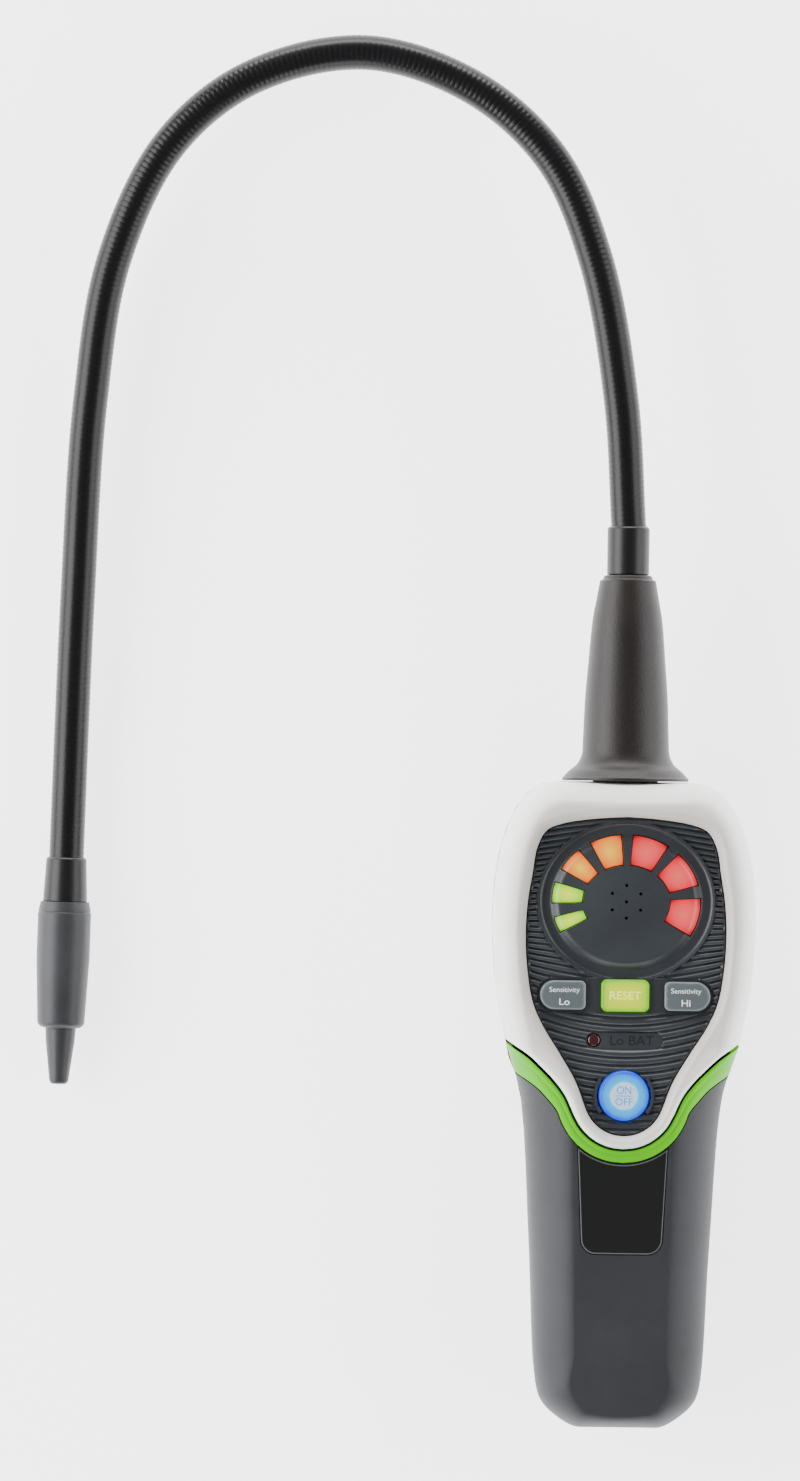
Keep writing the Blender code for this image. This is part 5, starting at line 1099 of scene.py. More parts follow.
@dataclass
class ControlPanel:
    """Graphite panel of the head: ribs, dial, lit windows, keys, lamp and their print."""

    form: HandsetForm
    face: float = 0.0474
    thickness: float = 0.0036
    band_width: float = 0.0086
    widest_y: float = 0.0441
    top_inset: float = 0.0091
    toe_radius: float = 0.0101
    arm: tuple[Pair, ...] = ((0.0122, 0.0035), (0.0164, 0.0107), (0.0209, 0.0179))
    side_inset: tuple[Pair, ...] = (
        (0.0020, -0.0169), (0.0005, -0.0084), (0.0, 0.0), (0.0004, 0.0085), (0.0015, 0.0157))
    shoulder: tuple[Pair, ...] = ((0.0228, 0.0078), (0.0205, 0.0036), (0.0163, 0.0018), (0.0078, 0.0005))
    rib_pitch: Pair = (0.00205, 0.00155)
    rib_grading: Pair = (0.0290, 0.0540)
    rib_height: float = 0.00085
    rib_arch: float = 0.0032
    rib_bow: tuple[Pair, ...] = (
        (0.0030, -0.0054), (0.0210, -0.0052), (0.0290, -0.0045), (0.0350, -0.0034), (0.0400, -0.0018),
        (0.0475, 0.0), (0.0746, 0.0032))
    rib_rows: int = 8
    column_pitch: float = 0.0006
    dial_y: float = 0.0531
    recess: Pair = (0.045, 0.0406)
    recess_depth: float = 0.0014
    plateau: Pair = (0.0354, 0.0318)
    plateau_foot: float = 0.0018
    rim_round: float = 0.0011
    window_outer: Pair = (0.0382, 0.0344)
    window_depth: float = 0.0078
    window_angles: tuple[Pair, ...] = (
        (194.0, 208.0), (163.5, 182.0), (130.2, 151.8), (94.5, 119.7), (56.3, 85.3), (15.0, 46.2), (-30.4, 3.7))
    hole_radius: float = 0.00042
    hole_circle: float = 0.0042
    row_y: float = 0.0290
    rise: float = 0.0009
    key_x: float = 0.0160
    key_size: Pair = (0.01175, 0.0074)
    key_corner: float = 0.0013
    reset_size: Pair = (0.0123, 0.0082)
    reset_corner: float = 0.0015
    band_height: float = 0.0088
    band_margin: float = 0.0008
    band_depth: float = 0.0007
    power_radius: float = 0.00642
    guard: tuple[float, float, float, float] = (0.0074, 0.0008, 34.0, 0.0009)
    pill_y: float = 0.0175
    pill_size: Pair = (0.0199, 0.0041)
    pill_depth: float = 0.0005
    lamp_x: float = -0.0079
    lamp_radius: float = 0.0015
    lamp_rise: float = 0.0004
    lip: Pair = (0.0004, 0.00022)
    soft: float = 0.00012
    edge_soft: float = 0.00025

    @property
    def width(self) -> float:
        """Width of the panel at its widest."""
        return self.form.head_width - 2 * self.band_width

    @property
    def top_y(self) -> float:
        """Place of the panel's top edge."""
        return self.form.half - self.top_inset

    def edge(self) -> Array:
        """Right half of the shield outline: an arc at the toe, then a smooth curve to the top."""
        power_y = self.form.power_y
        toe = arc((0.0, power_y), self.toe_radius, -90, self.form.toe_angle, 5)
        arm = [(x, power_y + y) for x, y in self.arm]
        side = [(self.width / 2 - inset, self.widest_y + y) for inset, y in self.side_inset]
        shoulder = [(x, self.top_y - drop) for x, drop in self.shoulder]
        return smooth_path(np.vstack([toe, arm, side, shoulder, [(0.0, self.top_y)]]))

    def bow(self, y: Array) -> Array:
        """How far a rib's ends lie below its middle: arched at the top, sagging at the bottom."""
        return np.interp(y, *zip(*self.rib_bow))

    def rib_table(self) -> tuple[Array, Array]:
        """Places up the panel and the count of ribs up to each, whose pitch narrows towards the top."""
        levels = np.linspace(-0.03, 0.11, 1401)
        count = np.cumsum((levels[1] - levels[0]) / np.interp(levels, self.rib_grading, self.rib_pitch))
        return levels, count

    def rib_surface(self, x: Array, y: Array) -> Array:
        """Height of the ribs: broad backs with sharp valleys, 1 - s^2.4 from a rib's middle s = 0 to 1."""
        level = y + self.bow(y) * (x / (self.width / 2)) ** 2
        level = y + self.bow(level) * (x / (self.width / 2)) ** 2
        share = np.abs(2 * (np.interp(level, *self.rib_table()) % 1.0) - 1)
        return self.face - self.rib_height * share ** 2.4

    def dial_surface(self, x: Array, y: Array) -> Array:
        """Height inside the recess: the plateau eases down to the moat, which curls up at the rim."""
        beyond = self.from_oval(x, y, self.plateau)
        rim = -self.from_oval(x, y, self.recess)
        fall = smooth_step(beyond, -0.0006, 1.15 * self.plateau_foot)
        lift = 1 - np.sqrt(np.clip(1 - (1 - np.clip(rim / self.rim_round, 0.0, 1.0)) ** 2, 0.0, 1.0))
        return self.face - self.recess_depth * fall * (1 - 0.75 * lift)

    def from_oval(self, x: Array, y: Array, size: Pair) -> Array:
        """Approximate distance outside an ellipse on the dial's centre."""
        radial = np.hypot(x / (size[0] / 2), (y - self.dial_y) / (size[1] / 2))
        return (radial - 1.0) * min(size) / 2

    @staticmethod
    def from_bar(x: Array, y: Array, size: Pair, centre_y: float) -> Array:
        """Distance outside a bar with round ends."""
        reach = np.maximum(np.abs(x) - (size[0] - size[1]) / 2, 0.0)
        return np.hypot(reach, y - centre_y) - size[1] / 2

    def from_guard(self, x: Array, y: Array) -> Array:
        """Distance outside the two curved guards beside the power key."""
        radius, width, half_angle, _ = self.guard
        across, up = np.abs(x), y - self.form.power_y
        turn = np.clip(np.arctan2(up, across), -math.radians(half_angle), math.radians(half_angle))
        return np.hypot(across - radius * np.cos(turn), up - radius * np.sin(turn)) - width / 2

    def surface(self, x: Array, y: Array) -> Array:
        """Height of the whole panel face: ribs, with the other forms eased in over a soft edge."""
        height = self.rib_surface(x, y)
        for distance, level in (
            (self.from_guard(x, y), self.face + self.guard[3]),
            (self.from_bar(x, y, self.band_size(), self.row_y), self.face - self.band_depth),
            (self.from_bar(x, y, self.pill_size, self.pill_y), self.pill_floor()),
            (self.from_oval(x, y, self.recess) - self.lip[0], self.face + self.lip[1]),
            (self.from_oval(x, y, self.recess), self.dial_surface(x, y)),
        ):
            inside = smooth_step(-distance, -self.soft, self.soft)
            height = height + (level - height) * inside
        return height

    def band_size(self) -> Pair:
        """Width and height of the recessed band that the keys stand in."""
        return (2 * self.key_x + self.key_size[0] + 2 * self.band_margin, self.band_height)

    def pill_floor(self) -> float:
        """Height of the lamp's recess."""
        return self.face - self.pill_depth

    def window_point(self, angle: Array, share: Array, outset: float = 0.0) -> tuple[Array, Array]:
        """Plan place on the window band at an angle in degrees and a share from inner to outer."""
        turn = np.radians(angle)
        width = self.window_outer[0] / 2 - self.window_depth * (1 - share) + outset
        height = self.window_outer[1] / 2 - self.window_depth * (1 - share) + outset
        return width * np.cos(turn), self.dial_y + height * np.sin(turn)

    def window_loop(self, start: float, end: float, clearance: float) -> Array:
        """Outline of a window with a clearance all round."""
        outer_turn = math.degrees(clearance / (self.window_outer[0] / 2))
        inner_turn = math.degrees(clearance / (self.window_outer[0] / 2 - self.window_depth))
        outer = self.window_point(np.linspace(start - outer_turn, end + outer_turn, 15), 1.0, clearance)
        inner = self.window_point(np.linspace(end + inner_turn, start - inner_turn, 11), 0.0, -clearance)
        return np.column_stack([np.concatenate([outer[0], inner[0]]), np.concatenate([outer[1], inner[1]])])

    def key_loop(self, side: int, clearance: float) -> Array:
        """Outline of a sensitivity key, fully round at its outer end."""
        round_end = self.key_size[1] / 2 + clearance
        corner = self.key_corner + clearance
        left, right = (round_end, corner) if side < 0 else (corner, round_end)
        return rounded_loop(self.key_size[0] + 2 * clearance, self.key_size[1] + 2 * clearance, left, right,
                            (side * self.key_x, self.row_y))

    def reset_loop(self, clearance: float) -> Array:
        """Outline of the reset key."""
        corner = self.reset_corner + clearance
        return rounded_loop(self.reset_size[0] + 2 * clearance, self.reset_size[1] + 2 * clearance, corner, corner,
                            (0.0, self.row_y))

    def round_loop(self, radius: float, centre: Pair, steps: int = 48) -> Array:
        """Outline of a round opening or key."""
        return oval(2 * radius, 2 * radius, centre, steps)

    def openings(self) -> list[Array]:
        """Outlines of all that passes through the panel."""
        dial = (0.0, self.dial_y)
        loops = [self.window_loop(start, end, GAP / 2) for start, end in self.window_angles]
        loops += [self.key_loop(side, GAP) for side in (-1, 1)]
        loops += [self.reset_loop(GAP), self.round_loop(self.power_radius + GAP, (0.0, self.form.power_y))]
        loops.append(self.round_loop(self.lamp_radius + GAP, (self.lamp_x, self.pill_y), 24))
        around = arc(dial, self.hole_circle, 90, 390, 5)
        loops += [self.round_loop(self.hole_radius, tuple(place), 12) for place in [dial, *around]]
        return loops

    def features(self) -> list[Array]:
        """Loops on both sides of each soft step of the face."""
        dial = (0.0, self.dial_y)
        loops = []
        for change in (-self.soft, self.soft):
            loops.append(oval(self.recess[0] + 2 * change, self.recess[1] + 2 * change, dial, 160))
            lip = 2 * (self.lip[0] + change)
            loops.append(oval(self.recess[0] + lip, self.recess[1] + lip, dial, 160))
            width, height = self.band_size()
            end = height / 2 + change
            loops.append(rounded_loop(width + 2 * change, height + 2 * change, end, end, (0.0, self.row_y), 14))
            end = self.pill_size[1] / 2 + change
            loops.append(rounded_loop(self.pill_size[0] + 2 * change, 2 * end, end, end, (0.0, self.pill_y), 10))
        foot = 2 * self.plateau_foot
        for share in np.linspace(-0.25, 1.15, 9):
            loops.append(oval(self.plateau[0] + foot * share, self.plateau[1] + foot * share, dial, 150))
        for share in (0.25, 0.5, 0.8, 1.0):
            inner = 2 * self.rim_round * share
            loops.append(oval(self.recess[0] - inner, self.recess[1] - inner, dial, 160))
        radius, width, half_angle, _ = self.guard
        for middle in (0.0, 180.0):
            for change in (-self.soft, self.soft):
                reach = width / 2 + change
                start, end = middle - half_angle, middle + half_angle
                tip = arc((radius * math.cos(math.radians(end)),
                           self.form.power_y + radius * math.sin(math.radians(end))), reach, end, end + 180, 5)
                tail = arc((radius * math.cos(math.radians(start)),
                            self.form.power_y + radius * math.sin(math.radians(start))), reach,
                           start + 180, start + 360, 5)
                centre = (0.0, self.form.power_y)
                loops.append(np.vstack([arc(centre, radius + reach, start, end, 14)[1:-1], tip,
                                        arc(centre, radius - reach, end, start, 14)[1:-1], tail]))
        return loops

    def grid_points(self, outline: Array, loops: list[Array]) -> tuple[Array, Array]:
        """Points along the ribs that keep clear of every loop, and the edges along each row.

        Args:
            outline: Closed outline that the points stay inside.
            loops: Loops that the points keep clear of.

        Returns:
            Points, and pairs of point numbers.
        """
        levels, count = self.rib_table()
        rows = np.interp(np.arange(count[0], count[-1], 1 / self.rib_rows), count, levels)
        rows = rows[(rows > self.form.power_y - 0.013) & (rows < self.top_y + self.rib_arch)]
        half = self.width / 2
        columns = np.arange(-half, half + self.column_pitch, self.column_pitch)
        x, level = np.meshgrid(columns, rows)
        points = np.stack([x, level - self.bow(level) * (x / half) ** 2], axis=-1)
        cell = 0.0001
        mask = np.zeros((int(0.08 / cell), int(0.12 / cell)), dtype=bool)
        for loop in loops:
            closed = np.vstack([loop, loop[:1]])
            steps = int(np.linalg.norm(np.diff(closed, axis=0), axis=1).sum() / cell * 2)
            spot = np.rint((resample(closed, steps) + (0.04, 0.03)) / cell).astype(int)
            for shift in ((0, 0), (1, 0), (-1, 0), (0, 1), (0, -1)):
                mask[spot[:, 0] + shift[0], spot[:, 1] + shift[1]] = True

        def clear(places: Array) -> Array:
            """Whether places lie away from every loop."""
            spot = np.rint((places + (0.04, 0.03)) / cell).astype(int)
            return ~mask[spot[..., 0], spot[..., 1]]

        kept = clear(points) & inside(points.reshape(-1, 2), outline).reshape(points.shape[:2])
        shares = np.linspace(0, 1, 14)[:, None, None, None]
        between = points[None, :, :-1] + (points[:, 1:] - points[:, :-1])[None] * shares
        joined = kept[:, :-1] & kept[:, 1:] & clear(between).all(axis=0)
        number = np.cumsum(kept.ravel()).reshape(kept.shape) - 1
        return points[kept], np.column_stack([number[:, :-1][joined], number[:, 1:][joined]])

    def build(self) -> bpy.types.Object:
        """Triangulate the outline, the steps and the rib points together, lift each point to the
        face's height, leave out the openings, and close the sheet with walls and an underside.

        Returns:
            The panel.
        """
        outline = mirrored(resample(self.edge(), 130, 0.01))
        centre = np.array([0.0, self.widest_y - 0.01])
        inset = outline + (centre - outline) / np.linalg.norm(centre - outline, axis=1)[:, None] * self.edge_soft
        openings = self.openings()
        loops = [outline, inset, *openings, *self.features()]
        grid, row_edges = self.grid_points(inset, loops)
        flat = np.vstack([*loops, grid]) * 1000
        starts = np.cumsum([0] + [len(loop) for loop in loops])
        edges = np.vstack([np.column_stack([np.arange(a, b), np.roll(np.arange(a, b), -1)])
                           for a, b in zip(starts, starts[1:])] + [row_edges + starts[-1]])
        result = delaunay_2d_cdt([Vector(point) for point in flat.tolist()], edges.tolist(), [], 0, 1e-5, False)
        plan = np.array([tuple(point) for point in result[0]]) / 1000
        triangles = np.array(result[2])
        middles = plan[triangles].mean(axis=1)
        kept = inside(middles, outline)
        for opening in openings:
            kept &= ~inside(middles, opening)
        triangles = triangles[kept]
        height = self.surface(plan[:, 0], plan[:, 1])
        rim = (((plan[:, None] - outline[None]) ** 2).sum(axis=2).min(axis=1)) < (GAP / 10) ** 2
        height = np.where(rim, height - self.edge_soft * 0.8, height)
        count = len(plan)
        points = np.vstack([np.column_stack([plan, height]),
                            np.column_stack([plan, np.full(count, self.face - self.thickness)])])
        sides = np.vstack([triangles[:, [0, 1]], triangles[:, [1, 2]], triangles[:, [2, 0]]])
        _, first, uses = np.unique(np.sort(sides, axis=1), axis=0, return_index=True, return_counts=True)
        border = sides[first[uses == 1]]
        walls = np.column_stack([border[:, 0], border[:, 0] + count, border[:, 1] + count, border[:, 1]])
        faces = triangles.tolist() + (triangles[:, ::-1] + count).tolist() + walls.tolist()
        used = np.unique(np.concatenate([triangles.ravel(), triangles.ravel() + count]))
        number = np.zeros(len(points), dtype=int)
        number[used] = np.arange(len(used))
        faces = [[int(number[k]) for k in face] for face in faces]
        piece = Piece("control_panel_face", "handset", "panel_grey", PANEL_GREY.make(), ("control_panel",))
        return piece.make(points[used], faces, closed=False)

    def build_windows(self) -> None:
        """Each window is a grid of angle by share on the dial's surface, crowned a little, with walls."""
        glows = {
            "lamp_green": LitPlastic("green lit window", ((0.05, "#F6FF20"), (0.35, "#CCFF08"), (0.62, "#8CE000"),
                                                          (0.72, "#5C9E00")), 1.5, "#183004"),
            "lamp_orange": LitPlastic("amber lit window", ((0.05, "#FFD030"), (0.35, "#FFA428"), (0.62, "#FF6A18"),
                                                           (0.72, "#B84010")), 1.5, "#3A1404"),
            "lamp_red": LitPlastic("red lit window", ((0.05, "#FF6A5E"), (0.40, "#FF4A50"), (0.62, "#E82028"),
                                                      (0.72, "#A00814")), 1.35, "#380406"),
        }
        made = {slot: glow.make() for slot, glow in glows.items()}
        slots = ("lamp_green",) * 2 + ("lamp_orange",) * 2 + ("lamp_red",) * 3
        foot = self.face - self.thickness - GAP
        for number, ((start, end), slot) in enumerate(zip(self.window_angles, slots), 1):
            turn = math.degrees(GAP / 2 / (self.window_outer[0] / 2 - self.window_depth / 2))
            u = np.linspace(0, 1, 25)[:, None]
            v = np.linspace(0, 1, 21)[None, :]
            across = start + turn + (end - start - 2 * turn) * u
            share = (GAP / 2 + (self.window_depth - GAP) * v) / self.window_depth
            x, y = self.window_point(across, share)
            crown = 0.00015 * (np.minimum(np.minimum(u, 1 - u) * 8, 1) * np.minimum(np.minimum(v, 1 - v) * 8, 1))
            top = np.stack([x, y, self.dial_surface(x, y) - 0.00012 + crown], axis=-1)
            base = top.copy()
            base[..., 2] = foot
            rows, columns = top.shape[:2]
            count = rows * columns
            ring = np.concatenate([np.arange(columns), np.arange(1, rows) * columns + columns - 1,
                                   count - 2 - np.arange(columns - 1), np.arange(rows - 2, 0, -1) * columns])
            walls = np.column_stack([ring, np.roll(ring, -1), np.roll(ring, -1) + count, ring + count])
            faces = grid_faces(rows, columns) + [[k + count for k in face[::-1]] for face in grid_faces(rows, columns)]
            uv = np.stack(np.broadcast_arrays(u, v), axis=-1).reshape(-1, 2)
            piece = Piece(f"led_window_{number}_lens", "handset", slot, made[slot], (f"led_window_{number}",))
            piece.make(np.vstack([top.reshape(-1, 3), base.reshape(-1, 3)]), faces + walls.tolist(),
                       np.vstack([uv, uv]))

    def keys(self) -> list[Key]:
        """The four push buttons."""
        row = (self.key_x, self.row_y)
        return [
            Key("sensitivity_lo_key", "sensitivity_lo_button", "sensitivity_lo_button", "button_grey",
                self.key_loop(-1, 0.0), (-row[0], row[1]), 0.00025, 0.0005),
            Key("reset_key", "reset_button", "reset_button", "button_reset",
                self.reset_loop(0.0), (0.0, self.row_y), 0.0003, 0.0006),
            Key("sensitivity_hi_key", "sensitivity_hi_button", "sensitivity_hi_button", "button_grey",
                self.key_loop(1, 0.0), row, 0.00025, 0.0005),
            Key("power_key", "power_button", "power_button", "button_power",
                self.round_loop(self.power_radius, (0.0, self.form.power_y), 72), (0.0, self.form.power_y),
                0.0003, 0.0006),
        ]

    def key_height(self, key: Key, x: Array, y: Array) -> Array:
        """Height of a key's crowned face: it falls with the square of the distance from its centre."""
        reach = np.linalg.norm(key.loop - key.centre, axis=1).max()
        away = np.hypot(x - key.centre[0], y - key.centre[1]) / reach
        return self.face + self.rise - key.crown * away ** 2

    def build_keys(self) -> None:
        """Each key is its outline shrunk to its centre: a wall, a round edge and a crowned face."""
        finishes = {
            # The frosted grey keys glow faintly, and their pale rim is a painted highlight along the key's round edge.
            "button_grey": LitPlastic("frosted grey key", ((0.0, "#3A4143"), (0.90, "#454C4E"), (0.98, "#8A9294"),
                                                           (1.0, "#9AA2A4")), 0.5, "#4A5153", (0.0, 0.0)).make(),
            "button_reset": LitPlastic("lit reset key", ((0.35, "#F6FF18"), (0.75, "#DCFF08"), (0.92, "#B4F400"),
                                                         (1.0, "#70C800")), 1.15, "#223A04", (0.0, 0.0)).make(),
            "button_power": LitPlastic("lit power key", ((0.58, "#C4DEF2"), (0.63, "#10C0FF"), (0.88, "#1098FF"),
                                                         (1.0, "#0A48E8")), 1.5, "#040E30", (0.0, 0.0)).make(),
        }
        for key in self.keys():
            centre = np.array(key.centre)
            arms = key.loop - centre
            reach = np.linalg.norm(arms, axis=1)
            rows = [(1.0, None, 0.004), (1.0, None, key.edge + 0.00035)]
            turns = np.radians(np.linspace(0, 90, 7))
            shares = [1.0 - (key.edge * (1 - math.cos(turn))) / reach for turn in turns]
            grid, uv = [], []
            for share, _, drop in rows:
                place = centre + arms * share
                grid.append(np.column_stack([place, np.full(len(place), self.face + self.rise - drop)]))
                uv.append(np.full(len(place), 1.0))
            for turn, share in zip(turns, shares):
                place = centre + arms * share[:, None]
                height = self.key_height(key, place[:, 0], place[:, 1]) - key.edge * 0.8 * (1 - math.sin(turn))
                grid.append(np.column_stack([place, height]))
                uv.append(share)
            for scale in np.linspace(0.92, 0.0, 14):
                place = centre + arms * (shares[-1] * scale)[:, None]
                grid.append(np.column_stack([place, self.key_height(key, place[:, 0], place[:, 1])]))
                uv.append(shares[-1] * scale)
            grid = np.stack(grid)
            count = grid.shape[1]
            faces = grid_faces(len(grid), count, wrap_columns=True)
            faces.append(list(range(count))[::-1])
            flat = np.concatenate(uv)
            piece = Piece(key.name, key.body, key.slot, finishes[key.slot], (key.node,))
            piece.make(grid, faces, np.column_stack([flat, np.zeros(len(flat))]))

    def build_lamp(self) -> None:
        """The low battery lamp: a domed lens turned about its own axis."""
        floor = self.pill_floor()
        turn = np.radians(np.linspace(0, 90, 10))
        profile = [(floor - 0.002, self.lamp_radius)]
        profile += list(zip(floor + self.lamp_rise * np.sin(turn), self.lamp_radius * np.cos(turn)))
        axis = Line((self.lamp_x, self.pill_y, 0.0), (0.0, 1e-6, 1.0))
        grid = lathe_points(profile, axis, 32)
        faces = grid_faces(len(grid), 32, wrap_columns=True) + [list(range(32))[::-1]]
        Piece("low_battery_lens", "handset", "low_lamp_red", LAMP_DARK.make(), ("low_battery_lamp",)).make(grid, faces)

    def print_words(self) -> None:
        """The generic words on the keys and beside the lamp, each laid on the face below it."""
        keys = {key.name: key for key in self.keys()}
        white, dark = WHITE_INK.make(), DARK_INK.make()
        pale, blue = PALE_GREEN_INK.make(), BLUE_INK.make()
        lo, hi = keys["sensitivity_lo_key"], keys["sensitivity_hi_key"]
        reset, power = keys["reset_key"], keys["power_key"]
        x, y = self.key_x, self.row_y
        words = (
            ("word_lo_sensitivity", "Sensitivity", (-x + 0.0004, y + 0.0012), (0.0078, 0.0017), 0.0, white, lo),
            ("word_lo", "Lo", (-x + 0.0004, y - 0.0017), (0.0027, 0.0017), 0.012, white, lo),
            ("word_hi_sensitivity", "Sensitivity", (x - 0.0004, y + 0.0012), (0.0078, 0.0017), 0.0, white, hi),
            ("word_hi", "Hi", (x - 0.0004, y - 0.0017), (0.0023, 0.0017), 0.012, white, hi),
            ("word_reset", "RESET", (0.0, y + 0.0001), (0.0080, 0.0021), 0.008, pale, reset),
            ("word_on", "ON", (0.0, self.form.power_y + 0.0015), (0.0037, 0.0020), 0.0, blue, power),
            ("word_off", "OFF", (0.0, self.form.power_y - 0.0015), (0.0044, 0.0019), 0.0, blue, power),
            ("word_divider", "-", (0.0, self.form.power_y), (0.0046, 0.00022), 0.0, blue, power),
            ("word_lo_bat", "Lo BAT", (0.0019, self.pill_y), (0.0112, 0.0025), 0.0, dark, None),
        )
        for name, text, centre, size, weight, ink, key in words:
            def level(px: Array, py: Array, key: Optional[Key] = key) -> Array:
                """Height of the surface that a word lies on."""
                return np.full(len(px), self.pill_floor()) if key is None else self.key_height(key, px, py)
            body = key.body if key else "handset"
            slot = key.slot if key else "panel_grey"
            print_word(Piece(name, body, slot, ink), text, centre, size, weight, level)


def inside(points: Array, loop: Array) -> Array:
    """Whether each point lies in a closed loop, by counting the edges to its right."""
    result = np.zeros(len(points), dtype=bool)
    after = np.roll(loop, -1, axis=0)
    for (x1, y1), (x2, y2) in zip(loop, after):
        if y1 == y2:
            continue
        crosses = (y1 > points[:, 1]) != (y2 > points[:, 1])
        at = x1 + (points[:, 1] - y1) * (x2 - x1) / (y2 - y1)
        result ^= crosses & (points[:, 0] < at)
    return result


def print_word(piece: Piece, text: str, centre: Pair, size: Pair, weight: float,
               level: Callable[[Array, Array], Array]) -> bpy.types.Object:
    """Make a printed word as a thin mesh that follows the surface below it.

    Args:
        piece: Name, body and ink.
        text: The word.
        centre: Plan place of the word's middle.
        size: Width and height of the whole word.
        weight: How much the strokes are thickened.
        level: Height of the surface at places x and y.

    Returns:
        The word.
    """
    curve = bpy.data.curves.new(piece.name, "FONT")
    curve.body = text
    curve.resolution_u = 4
    curve.offset = weight
    curve.extrude = 0.01
    holder = bpy.data.objects.new(piece.name, curve)
    bpy.context.scene.collection.objects.link(holder)
    bpy.context.view_layer.update()
    graph = bpy.context.evaluated_depsgraph_get()
    mesh = bpy.data.meshes.new_from_object(holder.evaluated_get(graph))
    bpy.data.objects.remove(holder)
    points = np.empty(len(mesh.vertices) * 3)
    mesh.vertices.foreach_get("co", points)
    points = points.reshape(-1, 3)
    low, high = points.min(axis=0), points.max(axis=0)
    scale = np.array(size) / (high - low)[:2]
    plan = (points[:, :2] - (low + high)[:2] / 2) * scale + centre
    height = level(plan[:, 0], plan[:, 1]) + SKIN_RISE * (points[:, 2] > 0)
    mesh.vertices.foreach_set("co", np.column_stack([plan, height]).ravel())
    made = bpy.data.objects.new(piece.name, mesh)
    bpy.context.scene.collection.objects.link(made)
    return piece.dress(made)


@dataclass
class NeckRoot:
    """Rubber boot on the head's end and the crimped sleeve above it."""

    form: HandsetForm
    neck_radius: float = 0.0046
    flange: Pair = (0.01645, 0.0009)
    body: tuple[Pair, ...] = (
        (0.0146, 0.0026), (0.0127, 0.0042), (0.0115, 0.0066), (0.0112, 0.0106), (0.0108, 0.0210),
        (0.0100, 0.0314), (0.0091, 0.0418), (0.0082, 0.0470), (0.0073, 0.0520))
    lip_radius: float = 0.0062
    shank_radius: float = 0.0085
    inner_flange: Pair = (0.0108, 0.0020)
    length: float = 0.0535
    sleeve_radius: float = 0.0055
    sleeve_length: float = 0.0123
    sleeve_chamfer: float = 0.0005

    def build(self) -> None:
        """Turn the boot's smooth profile and the sleeve's chamfered one about the neck's axis."""
        bore = self.neck_radius + GAP
        start = self.form.half + GAP
        inside_y = -self.form.wall - 2 * GAP
        radius, thickness = self.flange
        outer = smooth_path([(thickness, radius - 0.0003)] + [(y, r) for r, y in self.body], 8)
        lip = soft_profile([tuple(outer[-1]), (self.body[-1][1] + 0.0003, self.lip_radius + 0.0003),
                            (self.length - 0.0001, self.lip_radius), (self.length, bore)], 0.0005)
        profile = [(inside_y - self.inner_flange[1], bore), (inside_y - self.inner_flange[1], self.inner_flange[0]),
                   (inside_y, self.inner_flange[0]), (inside_y, self.shank_radius), (0.0, self.shank_radius),
                   (0.0, radius - 0.0002), (0.0002, radius), (thickness - 0.0002, radius)]
        profile += [tuple(point) for point in outer] + lip[1:]
        self.turned(profile, start, "neck_boot_cone", "boot_rubber", BOOT_RUBBER.make(), "neck_boot", 96)
        sleeve = soft_profile([(-0.8 * GAP, bore), (-0.8 * GAP, self.sleeve_radius), (0.002, self.sleeve_radius),
                               (self.sleeve_length - self.sleeve_chamfer, self.sleeve_radius),
                               (self.sleeve_length, self.sleeve_radius - self.sleeve_chamfer),
                               (self.sleeve_length, bore)], 0.0003)
        self.turned(sleeve, start + self.length + GAP, "base_sleeve_crimp", "neck_black", SLEEVE_BLACK.make(),
                    "base_sleeve", 64)

    def turned(self, profile: Sequence[Pair], start: float, name: str, slot: str,
               material: bpy.types.Material, node: str, segments: int) -> None:
        """Turn a closed profile about the neck's axis from a start."""
        line = Line((0.0, start, self.form.split), (0.0, 1.0, 0.0))
        grid = lathe_points(profile, line, segments)
        faces = grid_faces(len(grid), segments, wrap_rows=True, wrap_columns=True)
        Piece(name, "handset", slot, material, (node,)).make(grid, faces)


